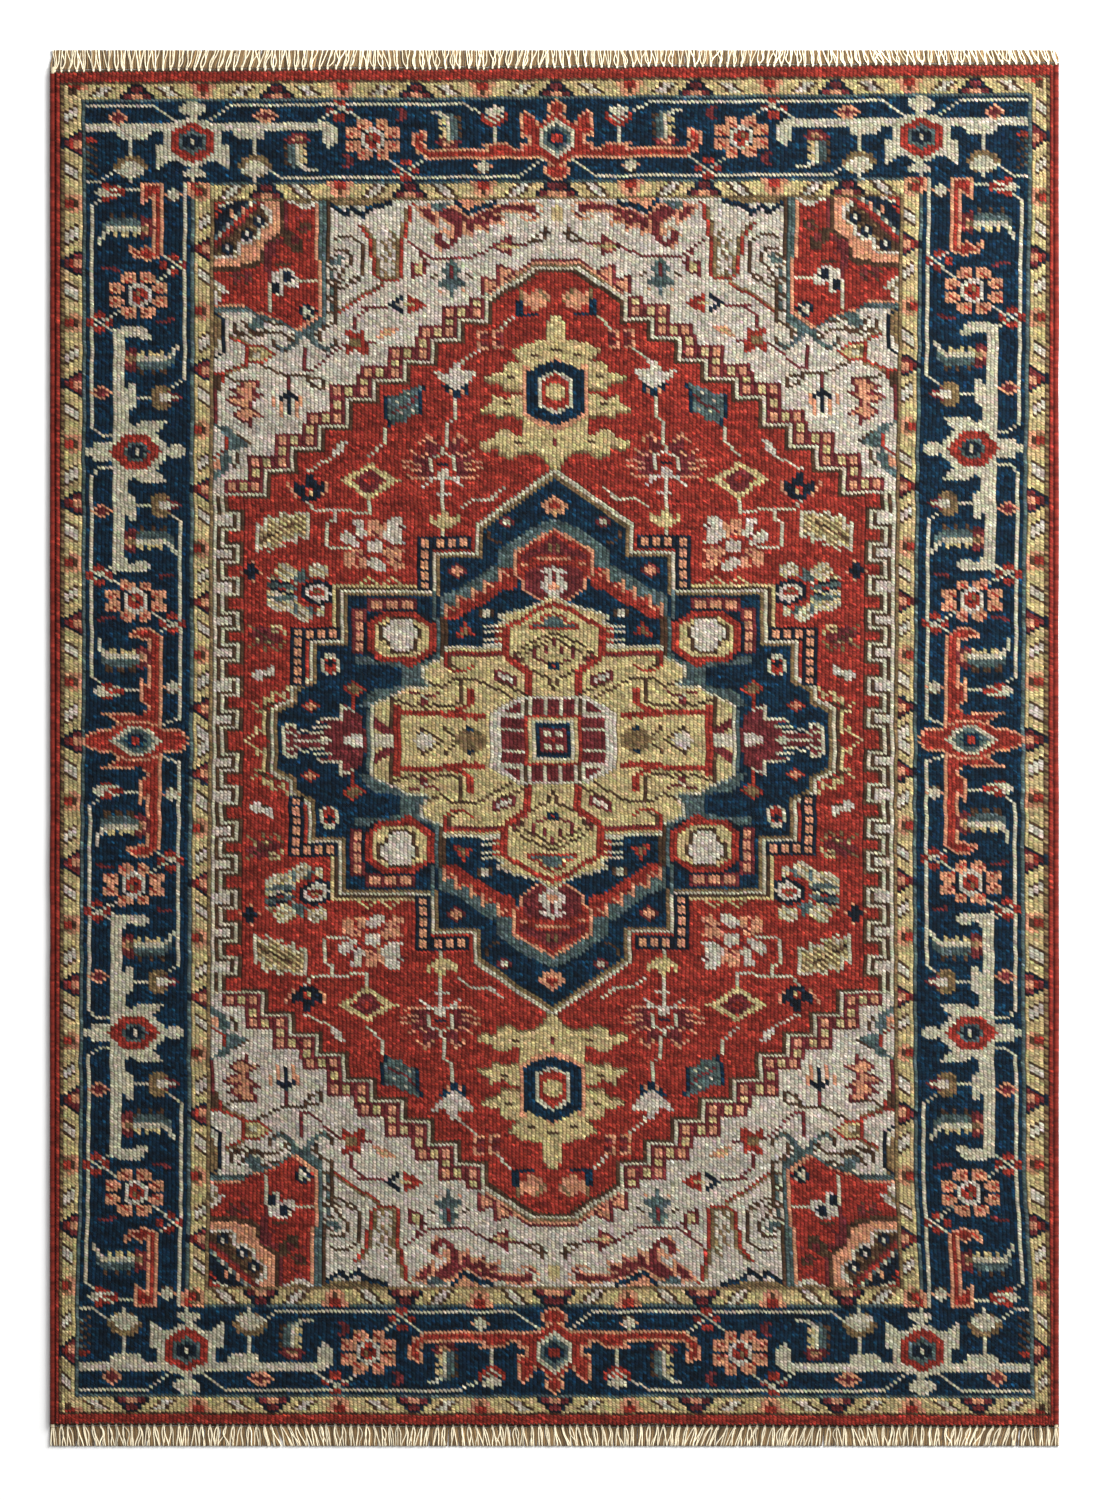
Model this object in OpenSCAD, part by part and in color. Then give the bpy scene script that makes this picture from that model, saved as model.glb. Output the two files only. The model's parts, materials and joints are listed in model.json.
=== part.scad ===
// Hand-knotted wool area rug: a cotton foundation, a clipped wool pile laid out as
// borders, corner pieces and a stepped medallion, overcast side cords and end fringes.
// X runs across the width, Y along the length and Z up. The underside rests on z = 0.

/* [Rug] */
// Overall width, over both side cords
rug_width = 1520; // [1200:10:2400]
// Length of the knotted pile, without the end bands and fringes
pile_length = 2048; // [1600:2:3200]
// Thickness of the woven foundation, with the backs of the knots
foundation_h = 3; // [2:0.5:5]
// Height of the clipped pile above the foundation
pile_h = 8; // [5:0.5:14]

/* [Knotting] */
// Columns of knots across the pile, an odd number so that one lies on the centre line
knot_columns = 257; // [257:2:301]
// Rows of knots along the pile, an odd number for the same reason
knot_rows = 499; // [499:2:599]

/* [Borders, in knots] */
// Plain edge band, in columns at the sides
edge_cols = 1; // [1:1:3]
// Plain edge band, in rows at the ends
edge_rows = 4; // [2:1:6]
// Outer guard stripe, in columns at the sides
outer_guard_cols = 5; // [4:1:6]
// Outer guard stripe, in rows at the ends
outer_guard_rows = 7; // [5:1:8]
// Main border, in columns at the sides
main_border_cols = 29; // [25:1:30]
// Main border, in rows at the ends
main_border_rows = 32; // [28:1:34]
// Inner guard stripe, in columns at the sides
inner_guard_cols = 5; // [4:1:5]
// Inner guard stripe, in rows at the ends
inner_guard_rows = 6; // [5:1:6]

/* [Sides] */
// Diameter of the side cord with its wool wrapping
selvedge_d = 9; // [6:0.5:11]
// Diameter of the bundle of warps inside the wrapping
cord_d = 6; // [3:0.5:5.5]

/* [Ends] */
// Length of the woven band beyond the last row of knots
end_band_len = 4; // [2:1:20]
// Length of the row of ties that holds the fringe
tie_len = 5; // [3:1:10]
// Length of the loose fringe beyond its ties
strand_len = 18; // [10:1:80]
// Diameter of a tie
tie_d = 4.6; // [2:0.2:5]
// Diameter of a bundle of loose strands
strand_d = 3.4; // [1:0.2:4]
// Columns of knots whose warps share one tie
columns_per_tie = 2; // [2:1:4]

/* [Hidden] */
knot_w = (rug_width - 2 * selvedge_d) / knot_columns;
row_h = pile_length / knot_rows;
half_cols = knot_columns / 2;
half_rows = knot_rows / 2;
pile_half_w = half_cols * knot_w;
pile_half_l = half_rows * row_h;
tie_pitch = columns_per_tie * knot_w;
tie_count = floor(rug_width / tie_pitch);
band_end = pile_half_l + end_band_len;

// Half sizes, in knots, of the rectangles between one border and the next.
edge_out = [half_cols, half_rows];
edge_in = edge_out - [edge_cols, edge_rows];
outer_guard_in = edge_in - [outer_guard_cols, outer_guard_rows];
main_border_in = outer_guard_in - [main_border_cols, main_border_rows];
field_half = main_border_in - [inner_guard_cols, inner_guard_rows];

// The side band of the field, in knots from the centre: its inner column and its last row.
side_band_u = 80.5;
side_band_v = 92;

// Outer corners of the stepped red field, in knots from the centre, from its top to its side.
field_top = [[0, 178], [6, 178]];
field_corners = [[18, 167], [25, 157], [32, 150], [39, 142], [47, 135],
                 [53, 127], [61, 118], [68, 110], [75, 101], [side_band_u, side_band_v]];
// The medallion: a gable, then steps, then a bevelled point at the side.
medallion_tip = [0, 101];
medallion_corners = [[20, 81], [30, 71], [54, 57], [63, 38]];
medallion_point = [[63, 24], [68, 19], [68, 15], [73.5, 10], [73.5, 0]];
heart_quarter = [[0, 54], [14, 44], [14, 34], [28, 33], [34, 26], [40, 20], [46, 12], [46, 0]];
panel_quarter = [[10, 16], [14, 13]];
pendant_half = [[0, 158], [11, 148], [19, 127], [19, 111], [7, 103.5], [0, 103]];
// A corner piece, in knots in from the corner of the field.
corner_outline = [[0, 0], [28.5, 0], [28.5, 40], [23, 47], [18, 43], [10, 40], [0, 40]];

// Knots to millimetres.
function mm(points) = [for (p = points) [p[0] * knot_w, p[1] * row_h]];
// Stairs through a list of outer corners: down at each corner, then out to the next.
function stairs(c) = [for (i = [0 : len(c) - 2]) each [c[i], [c[i][0], c[i + 1][1]]]];
// A half outline from one point on the centre line to the other, closed by its mirror image.
function both_sides(h) = concat(h,
    [for (i = [len(h) - 1 : -1 : 0]) if (h[i][0] > 0) [-h[i][0], h[i][1]]]);
// A quarter outline, from the top centre to the side, mirrored to all four quarters.
function four_ways(q) = both_sides(concat(q,
    [for (i = [len(q) - 1 : -1 : 0]) if (q[i][1] > 0) [q[i][0], -q[i][1]]]));

last_field_corner = field_corners[len(field_corners) - 1];
field_quarter = concat(field_top, stairs(field_corners), [last_field_corner]);
last_step = medallion_corners[len(medallion_corners) - 1];
medallion_quarter = concat([medallion_tip], stairs(medallion_corners), [last_step], medallion_point);

// A flat slab of pile over an outline given in knots.
module pile(points) {
    translate([0, 0, foundation_h]) linear_extrude(height = pile_h) polygon(mm(points));
}

// One side of a border, mitred at its ends. side is [x, y], one of them 1 or -1.
module border_side(outer, inner, side) {
    along = side[0] == 0;
    quad = along
        ? [[-outer[0], outer[1]], [outer[0], outer[1]], [inner[0], inner[1]], [-inner[0], inner[1]]]
        : [[outer[0], -outer[1]], [outer[0], outer[1]], [inner[0], inner[1]], [inner[0], -inner[1]]];
    pile([for (p = quad) [p[0] * (along ? 1 : side[0]), p[1] * (along ? side[1] : 1)]]);
}

module foundation_weave() {
    color("wheat") translate([-pile_half_w, -pile_half_l, 0])
        cube([2 * pile_half_w, 2 * pile_half_l, foundation_h]);
}

module end_band(side) {
    color("beige") translate([-rug_width / 2, side > 0 ? pile_half_l : -band_end, 0])
        cube([rug_width, end_band_len, foundation_h]);
}

// A row of rods along Y, resting on the floor, that starts at from and runs outwards.
module fringe_row(side, from, len, d) {
    for (i = [0 : tie_count - 1])
        translate([(i - (tie_count - 1) / 2) * tie_pitch, side * from, d / 2])
            rotate([-side * 90, 0, 0]) cylinder(d = d, h = len, $fn = 24);
}

module fringe_ties(side) {
    color("ivory") fringe_row(side, band_end, tie_len, tie_d);
}

module fringe_strands(side) {
    color("ivory") fringe_row(side, band_end + tie_len, strand_len, strand_d);
}

// A round bar along the whole side of the pile.
module side_bar(side, d, past_ends = 0) {
    translate([side * (rug_width - selvedge_d) / 2, -pile_half_l - past_ends, selvedge_d / 2])
        rotate([-90, 0, 0]) cylinder(d = d, h = 2 * (pile_half_l + past_ends), $fn = 48);
}

module selvedge_cord(side) {
    color("wheat") side_bar(side, cord_d);
}

module overcast_wrap(side) {
    color("firebrick") difference() {
        side_bar(side, selvedge_d);
        side_bar(side, cord_d, past_ends = 1);
    }
}

module edge_pile(side) {
    color("firebrick") border_side(edge_out, edge_in, side);
}

module outer_guard(side) {
    color("darkkhaki") border_side(edge_in, outer_guard_in, side);
}

module main_border(side) {
    color("midnightblue") border_side(outer_guard_in, main_border_in, side);
}

module inner_guard(side) {
    color("darkkhaki") border_side(main_border_in, field_half, side);
}

module corner_piece(side) {
    color("firebrick") pile([for (p = corner_outline)
        [side[0] * (field_half[0] - p[0]), side[1] * (field_half[1] - p[1])]]);
}

// The ivory ground at one end of the field, around the steps of the red field.
module end_ground(side) {
    color("linen") difference() {
        pile([for (p = [[-1, side_band_v / field_half[1]], [1, side_band_v / field_half[1]], [1, 1], [-1, 1]])
            [p[0] * field_half[0], side * p[1] * field_half[1]]]);
        cutter(four_ways(field_quarter));
        for (x = [-1, 1])
            cutter([for (p = corner_outline)
                [x * (field_half[0] - p[0] + (p[0] == 0 ? 1 : 0)),
                 side * (field_half[1] - p[1] + (p[1] == 0 ? 1 : 0))]]);
    }
}

// A tool that cuts an outline right through the pile.
module cutter(points) {
    translate([0, 0, foundation_h - 1]) linear_extrude(height = pile_h + 2) polygon(mm(points));
}

module side_band(side) {
    color("linen") pile([for (p = [[side_band_u, -side_band_v], [field_half[0], -side_band_v],
                                   [field_half[0], side_band_v], [side_band_u, side_band_v]])
        [side * p[0], p[1]]]);
}

module red_field() {
    color("firebrick") difference() {
        pile(four_ways(field_quarter));
        cutter(four_ways(medallion_quarter));
        for (side = [-1, 1])
            cutter(pendant_outline(side));
    }
}

function pendant_outline(side) = [for (p = both_sides(pendant_half)) [p[0], side * p[1]]];

module pendant(side) {
    color("darkkhaki") pile(pendant_outline(side));
}

module medallion() {
    color("midnightblue") difference() {
        pile(four_ways(medallion_quarter));
        cutter(four_ways(heart_quarter));
    }
}

module medallion_heart() {
    color("darkkhaki") difference() {
        pile(four_ways(heart_quarter));
        cutter(four_ways(panel_quarter));
    }
}

module centre_panel() {
    color("brown") pile(four_ways(panel_quarter));
}

foundation_weave();
end_band(1);  // end_band_north
end_band(-1);  // end_band_south
fringe_ties(1);  // fringe_ties_north
fringe_ties(-1);  // fringe_ties_south
fringe_strands(1);  // fringe_strands_north
fringe_strands(-1);  // fringe_strands_south
selvedge_cord(1);  // selvedge_cord_east
selvedge_cord(-1);  // selvedge_cord_west
overcast_wrap(1);  // overcast_wrap_east
overcast_wrap(-1);  // overcast_wrap_west
edge_pile([0, 1]);  // edge_pile_north
edge_pile([0, -1]);  // edge_pile_south
edge_pile([1, 0]);  // edge_pile_east
edge_pile([-1, 0]);  // edge_pile_west
outer_guard([0, 1]);  // outer_guard_north
outer_guard([0, -1]);  // outer_guard_south
outer_guard([1, 0]);  // outer_guard_east
outer_guard([-1, 0]);  // outer_guard_west
main_border([0, 1]);  // main_border_north
main_border([0, -1]);  // main_border_south
main_border([1, 0]);  // main_border_east
main_border([-1, 0]);  // main_border_west
inner_guard([0, 1]);  // inner_guard_north
inner_guard([0, -1]);  // inner_guard_south
inner_guard([1, 0]);  // inner_guard_east
inner_guard([-1, 0]);  // inner_guard_west
corner_piece([1, 1]);  // corner_piece_ne
corner_piece([-1, 1]);  // corner_piece_nw
corner_piece([1, -1]);  // corner_piece_se
corner_piece([-1, -1]);  // corner_piece_sw
end_ground(1);  // end_ground_north
end_ground(-1);  // end_ground_south
side_band(1);  // side_band_east
side_band(-1);  // side_band_west
red_field();
pendant(1);  // pendant_north
pendant(-1);  // pendant_south
medallion();
medallion_heart();
centre_panel();
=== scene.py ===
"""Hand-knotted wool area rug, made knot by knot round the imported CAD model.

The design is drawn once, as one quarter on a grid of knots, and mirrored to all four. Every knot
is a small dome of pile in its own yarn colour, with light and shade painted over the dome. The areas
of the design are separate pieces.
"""
import json
import math

import bpy
import numpy as np
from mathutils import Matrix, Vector

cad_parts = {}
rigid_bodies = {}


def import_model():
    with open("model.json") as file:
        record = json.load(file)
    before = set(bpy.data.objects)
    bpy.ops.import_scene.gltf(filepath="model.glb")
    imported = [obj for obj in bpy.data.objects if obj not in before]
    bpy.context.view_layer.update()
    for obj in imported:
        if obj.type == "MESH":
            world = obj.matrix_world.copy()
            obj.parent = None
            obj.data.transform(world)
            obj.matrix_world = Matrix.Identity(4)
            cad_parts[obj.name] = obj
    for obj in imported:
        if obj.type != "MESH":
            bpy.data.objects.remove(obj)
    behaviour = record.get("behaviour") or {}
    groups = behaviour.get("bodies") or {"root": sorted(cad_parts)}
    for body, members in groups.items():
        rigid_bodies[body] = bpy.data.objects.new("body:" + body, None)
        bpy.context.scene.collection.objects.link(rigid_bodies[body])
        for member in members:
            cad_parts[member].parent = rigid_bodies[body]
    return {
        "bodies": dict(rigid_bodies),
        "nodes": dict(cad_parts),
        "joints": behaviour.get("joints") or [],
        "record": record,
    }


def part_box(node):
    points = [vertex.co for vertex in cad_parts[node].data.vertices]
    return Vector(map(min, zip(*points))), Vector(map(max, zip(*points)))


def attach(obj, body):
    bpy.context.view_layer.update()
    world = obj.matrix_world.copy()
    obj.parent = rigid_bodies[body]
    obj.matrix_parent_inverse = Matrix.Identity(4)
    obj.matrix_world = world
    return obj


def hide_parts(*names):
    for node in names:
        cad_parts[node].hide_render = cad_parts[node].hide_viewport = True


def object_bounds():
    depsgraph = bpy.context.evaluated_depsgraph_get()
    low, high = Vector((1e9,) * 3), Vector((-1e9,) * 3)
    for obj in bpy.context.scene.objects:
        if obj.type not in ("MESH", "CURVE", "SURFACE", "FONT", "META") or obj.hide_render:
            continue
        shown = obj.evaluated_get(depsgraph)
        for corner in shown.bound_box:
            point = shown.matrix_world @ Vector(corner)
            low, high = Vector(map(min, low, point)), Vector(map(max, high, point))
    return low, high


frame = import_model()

cad_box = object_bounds()
rng = np.random.default_rng(7)

# ---------------------------------------------------------------- yarns
# Colour of each yarn, in sRGB, before the light and shade of the pile.
DYES = {
    "RED": (0.423, 0.131, 0.097), "NAVY": (0.011, 0.094, 0.152), "TEAL": (0.217, 0.265, 0.261),
    "CREAM": (0.568, 0.546, 0.467), "GOLD": (0.573, 0.513, 0.358), "OLIVE": (0.352, 0.284, 0.189),
    "BROWN": (0.207, 0.139, 0.091), "MAROON": (0.296, 0.104, 0.11), "SALMON": (0.605, 0.418, 0.316),
    "IVORY": (0.588, 0.556, 0.503), "BLACK": (0.028, 0.061, 0.099)}
RED, NAVY, TEAL, CREAM, GOLD, OLIVE, BROWN, MAROON, SALMON, IVORY, BLACK = range(len(DYES))
# How much one knot of a yarn differs in brightness from the next.
UNEVEN = {
    "RED": 0.32, "NAVY": 0.50, "TEAL": 0.34, "CREAM": 0.16, "GOLD": 0.20, "OLIVE": 0.28, "BROWN": 0.28,
    "MAROON": 0.30, "SALMON": 0.18, "IVORY": 0.17, "BLACK": 0.45}
# How much it differs in hue, in any yarn.
HUE_UNEVEN = 0.06

# ---------------------------------------------------------------- drawing on the knot grid
HALF_COLS, HALF_ROWS = 128, 249
quarter = np.full((HALF_ROWS + 1, HALF_COLS + 1), RED)


def fill(colour, *outline):
    """Knots whose centres lie inside an outline take a colour."""
    u, v = np.array(outline, float).T
    j0, j1 = max(int(v.min()), 0), min(int(v.max()) + 2, HALF_ROWS + 1)
    i0, i1 = max(int(u.min()), 0), min(int(u.max()) + 2, HALF_COLS + 1)
    if j1 <= j0 or i1 <= i0:
        return
    jj, ii = np.mgrid[j0:j1, i0:i1]
    inside = np.zeros(jj.shape, bool)
    for ua, va, ub, vb in zip(u, v, np.roll(u, -1), np.roll(v, -1)):
        if va != vb:
            crosses = (va > jj) != (vb > jj)
            inside ^= crosses & (ii < ua + (jj - va) * (ub - ua) / (vb - va))
    quarter[j0:j1, i0:i1][inside] = colour


def knot(colour, *places):
    """Single knots take a colour."""
    for u, v in places:
        if 0 <= u <= HALF_COLS and 0 <= v <= HALF_ROWS:
            quarter[int(v + 0.5), int(u + 0.5)] = colour


def line(colour, *points):
    """A line one knot wide through its points."""
    for (ua, va), (ub, vb) in zip(points, points[1:]):
        steps = max(int(round(max(abs(ub - ua), abs(vb - va)))), 1)
        for k in range(steps + 1):
            knot(colour, (ua + (ub - ua) * k / steps, va + (vb - va) * k / steps))


def stroke(colour, *points):
    """A line two knots wide."""
    for du, dv in ((0, 0), (1, 0), (0, 1)):
        line(colour, *[(u + du, v + dv) for u, v in points])


def framed(body, rim, *outline):
    """A filled outline with a one-knot rim."""
    fill(body, *outline)
    line(rim, *outline, outline[0])


def mottle(colour, among, u0, u1, v0, v1, beat=2):
    """Every second (or beat-th) knot of one colour in a box is tied in another."""
    part = quarter[v0:v1 + 1, u0:u1 + 1]
    vv, uu = np.indices(part.shape)
    part[(part == among) & ((uu + (beat - 1) * vv) % beat == 0)] = colour


def both_u(a, half):
    """A half outline and its mirror image about the column a."""
    return list(half) + [(2 * a - u, v) for u, v in reversed(half)]


def both_v(a, half):
    """A half outline and its mirror image about the row a."""
    return list(half) + [(u, 2 * a - v) for u, v in reversed(half)]


def box(colour, u0, u1, v0, v1):
    """Every knot from column u0 to u1 and row v0 to v1."""
    fill(colour, (u0 - 0.5, v0 - 0.5), (u1 + 0.5, v0 - 0.5), (u1 + 0.5, v1 + 0.5), (u0 - 0.5, v1 + 0.5))


def shift(points, du, dv):
    """Points moved by du columns and dv rows."""
    return [(u + du, v + dv) for u, v in points]


def grown(points, centre, factor_u, factor_v):
    """Points spread out from a centre, or drawn in to it where a factor is below one."""
    cu, cv = centre
    return [(cu + (u - cu) * factor_u, cv + (v - cv) * factor_v) for u, v in points]


def place(points, at, turn=0):
    """Points given about a motif's own centre, turned by quarter turns and moved to a place."""
    for _ in range(turn):
        points = [(-v, u) for u, v in points]
    return shift(points, *at)


# ---------------------------------------------------------------- guards
def end_lozenge(u, v, lean):
    """A white lozenge between brown lines, in a guard stripe at the end of the rug."""
    for colour, half in ((BROWN, 2.1), (IVORY, 1.1)):
        fill(colour, (u + half + lean, v - 2), (u - half + lean, v - 2), (u - half - lean, v + 2),
             (u + half - lean, v + 2.2))


def side_lozenge(u, v, lean):
    """The same in a guard stripe at the side."""
    for colour, half in ((BROWN, 2.9), (IVORY, 1.8)):
        fill(colour, (u + 1.5, v + half - lean), (u + 1.5, v - half - lean),
             (u - 1.5, v - half + lean), (u - 1.5, v + half + lean))


def end_trefoil(u, v):
    """A dark trefoil with a pink heart, standing on a guard's edge at the end."""
    fill(BLACK, *both_u(u, [(u + 5, v - 0.5), (u + 4.4, v + 1), (u + 2.4, v + 3), (u + 1.8, v + 5.5)]))
    box(MAROON, u - 3, u + 3, v, v + 1)
    box(SALMON, u - 1, u + 1, v, v + 1)
    box(MAROON, u - 1, u + 1, v + 3, v + 4)
    box(MAROON, u, u, v + 2, v + 4)


def side_trefoil(u, v):
    """The same at the side."""
    for colour, d in ((BLACK, 0), (MAROON, 1)):
        fill(colour, *both_v(v, [(u, v + 4.6 - d), (u + 0.8, v + 4.4 - d),
             (u + 2.6 - 0.5 * d, v + 2.4 - 0.6 * d), (u + 4.6 - d, v + 1.4 - 0.5 * d)]))
    box(RED, u + 1, u + 2, v - 1, v + 1)
    box(SALMON, u, u + 1, v - 1, v + 1)


def end_anchor(u, v):
    """A pink wedge between two trefoils at the end."""
    fill(SALMON, *both_u(u, [(u + 3.5, v + 6), (u + 2.6, v + 1), (u + 1, v - 0.4)]))
    fill(RED, *both_u(u, [(u + 2, v + 6), (u + 1.2, v + 3)]))
    box(BROWN, u, u, v + 1, v + 2)


def side_anchor(u, v):
    """The same at the side."""
    fill(SALMON, *both_v(v, [(u + 4, v + 2.5), (u + 1.5, v + 3.6), (u - 0.5, v + 2.6)]))
    box(OLIVE, u + 2, u + 3, v - 2, v + 2)
    box(RED, u + 2, u + 3, v - 1, v + 1)
    box(BROWN, u + 1, u + 1, v - 1, v + 1)


def base():
    """The ground colour of each border, with a thin line between one and the next."""
    quarter[:] = RED
    box(GOLD, 0, 127, 0, 245)
    box(OLIVE, 127, 127, 0, 245)
    box(OLIVE, 0, 127, 245, 245)
    for v in range(0, 245, 3):
        knot(BROWN, (127, v))
    for u in range(0, 127, 3):
        knot(BROWN, (u, 245), (u + 1, 245))
    box(TEAL, 0, 122, 0, 238)
    box(NAVY, 0, 121, 0, 237)
    box(TEAL, 0, 94, 0, 207)
    box(GOLD, 0, 93, 0, 206)
    box(OLIVE, 0, 89, 0, 201)
    box(IVORY, 0, 88, 0, 200)


def guards():
    """Motifs of the two gold guard stripes."""
    for u in (0, 36, 72, 108):
        end_trefoil(u, 239)
    for u in (18, 54, 90):
        end_anchor(u + 1, 239)
    for u in (8, 44, 80, 116):
        end_lozenge(u + 1, 241.5, 1.4)
    for u in (28, 64, 100):
        end_lozenge(u, 241.5, -1.4)
    for n in range(6):
        side_trefoil(123, 44.5 * n)
        side_lozenge(125, 44.5 * n - 10.5, -1.6)
        side_lozenge(125, 44.5 * n + 10.5, 1.6)
    for n in range(5):
        side_anchor(123, 22.2 + 44.5 * n)
    fill(RED, (126, 245), (122, 244), (126, 240))
    box(BROWN, 124, 125, 241, 243)
    box(SALMON, 121, 122, 243, 244)
    for u in (0, 37, 74):
        end_trefoil(u + 1, 202)
        end_lozenge(u + 10, 204, 1.4)
        end_lozenge(u - 8, 204, -1.4)
        end_anchor(u + 19, 202)
    for v in (12.3, 52, 94, 138.5, 183):
        side_trefoil(89.6, v)
        side_lozenge(91.5, v - 9.5, -1.6)
        side_lozenge(91.5, v + 9.5, 1.6)
    for v in (32, 72, 116, 160, 204):
        side_anchor(90, v)


# ---------------------------------------------------------------- main border
def tulip(u, v):
    """An ochre tulip with a cream heart, hanging from its stem."""
    fill(OLIVE, *shift(both_u(0, [(1, 4.6), (3, 3.4), (4.3, 1), (3.6, -2), (2, -3.5)]), u, v))
    fill(CREAM, *shift(both_u(0, [(1, 3), (2.2, 1.6), (3.2, -0.4), (3, -2.4), (1, -3.4), (0.5, -5)]), u, v))


def rhombus(colour, u, v, du, dv):
    """A rhombus that reaches du columns and dv rows from its centre."""
    fill(colour, (u, v + dv), (u + du, v), (u, v - dv), (u - du, v))


def diamond(u, v):
    """A maroon rhombus with a salmon rim."""
    rhombus(SALMON, u, v, 3.2, 3)
    rhombus(MAROON, u, v, 2.1, 1.8)


def rosette(u, v, reach_u, reach_v):
    """Eight salmon petals round a white hexagon with a red heart."""
    petals = [(su * 2.4, sv * (reach_v - 1.8)) for su in (-1, 1) for sv in (-1, 1)]
    petals += [(su * (reach_u - 1.8), sv * 2.3) for su in (-1, 1) for sv in (-1, 1)]
    fill(BLACK, *both_u(u, [(u + 2, v + reach_v - 2), (u + reach_u - 2, v + 2), (u + reach_u - 2, v - 1),
         (u + 2, v - reach_v + 2)]))
    for pu, pv in petals:
        pu, pv = u + pu, v + pv
        fill(SALMON, *both_u(pu, [(pu + 1, pv + 2.1), (pu + 1.9, pv + 1.1), (pu + 1.9, pv - 1.1),
             (pu + 1, pv - 2.1)]))
        knot(RED, (pu, pv), (pu + 1, pv - 1))
    fill(IVORY, *both_u(u, [(u + 0.6, v + 4.6), (u + 3, v + 2), (u + 3, v - 2.4), (u + 0.6, v - 4.6)]))
    fill(RED, *both_u(u, [(u, v + 3), (u + 2, v + 1), (u + 2, v - 1), (u + 0.6, v - 3)]))
    knot(OLIVE, (u, v), (u, v + 1))
    knot(BLACK, (u - 1, v - 1), (u + 1, v + 2))


def leaf(at, turn=0, flip=1):
    """A serrated leaf: a flower at its head, a teal side, a toothed cream side and a curled tail."""
    wide = flip * (1.45 if turn % 2 else 1)

    def put(colour, *points):
        """One part of the leaf, drawn upright about its centre."""
        fill(colour, *place([(u * wide, v) for u, v in points], at, turn))
    put(MAROON, (-3.4, 4.4), (-2, 7), (0, 7.8), (2, 7), (3.4, 4.4), (1, 3))
    put(SALMON, (-2, 4.6), (-1, 6.4), (0.4, 6.6), (1.6, 4.6))
    put(OLIVE, (-1, 6), (0, 5.6), (0.6, 4), (-1, 4.4))
    for v in (2.6, -0.4, -3.2):
        put(BROWN, (1, v + 1.2), (3.8, v + 0.4), (3.6, v - 1), (1, v - 1))
    put(TEAL, (2, 4), (0, 4), (-1, -6), (1.2, -5.6), (2.4, -3))
    put(CREAM, (0, 4), (-1, 4), (-1, -3.5), (-3, -5.6), (-5, -6), (-3.4, -7), (-1.4, -6), (0.4, -4))
    for v in (2.8, 0.2, -2.4):
        put(GOLD, (-1, v + 1), (-2, v + 0.8), (-2.4, v - 0.6), (-0.8, v - 1))


def crossed_buds(u, v):
    """Two vines that cross between red buds."""
    for du, dv in ((0, 2.6), (0, -2.6), (2.4, 0), (-2.4, 0)):
        box(RED, u + du - 0.6, u + du + 0.6, v + dv - 0.6, v + dv + 0.6)
        knot(MAROON, (u + 1.4 * du, v + 1.4 * dv))


def cross_bud(u, v):
    """A small cream bud in the shape of a cross."""
    box(BROWN, u - 1, u + 1, v - 2, v + 1)
    box(SALMON, u - 2, u + 2, v, v)
    box(CREAM, u - 1, u + 1, v - 1, v + 1)
    box(CREAM, u, u, v - 2, v + 2)


def curl(u, v, su, sv):
    """A short curved red leaf."""
    fill(MAROON, (u - 2.4 * su, v + sv), (u + 3 * su, v - sv), (u + 2 * su, v + 0.8 * sv),
         (u, v + 2 * sv))


def star_in_end(u, body):
    """Star palmette of the end border: a hexagon between four arms, a trefoil above and a bud below."""
    arms = [(u, 231), (u + 5, 229.6), (u + 8, 230), (u + 7.5, 222), (u + 10, 222), (u + 9.6, 213),
        (u + 8.6, 213), (u + 6, 216), (u + 4, 216), (u + 2, 213.4)]
    fill(body, *both_u(u, arms))
    fill(body, *both_u(u, [(u, 238), (u + 3, 236), (u + 3.6, 235), (u + 2.4, 232.6), (u + 1, 232),
         (u + 1.5, 231)]))
    fill(body, *both_u(u, [(u + 1, 214), (u + 1, 212.6), (u + 3, 211.4), (u + 3, 210), (u + 1, 210),
         (u + 0.6, 208)]))


def end_crossings():
    """Crossed vines of the end border."""
    crossed_buds(56, 233.6)
    crossed_buds(39, 211.6)


def end_vines():
    """Vines of the end border, above and below its bars."""
    line(CREAM, (121, 236), (104, 236), (98, 230))
    line(CREAM, (90, 230), (84, 236), (57, 236), (50, 230))
    line(CREAM, (61, 230), (54, 236), (24, 236), (19, 232))
    line(CREAM, (121, 208), (118, 208), (113, 213))
    line(CREAM, (75, 213), (71, 209), (41, 209), (34, 216))
    line(CREAM, (44, 216), (37, 209), (10, 209), (3, 216))


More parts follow.
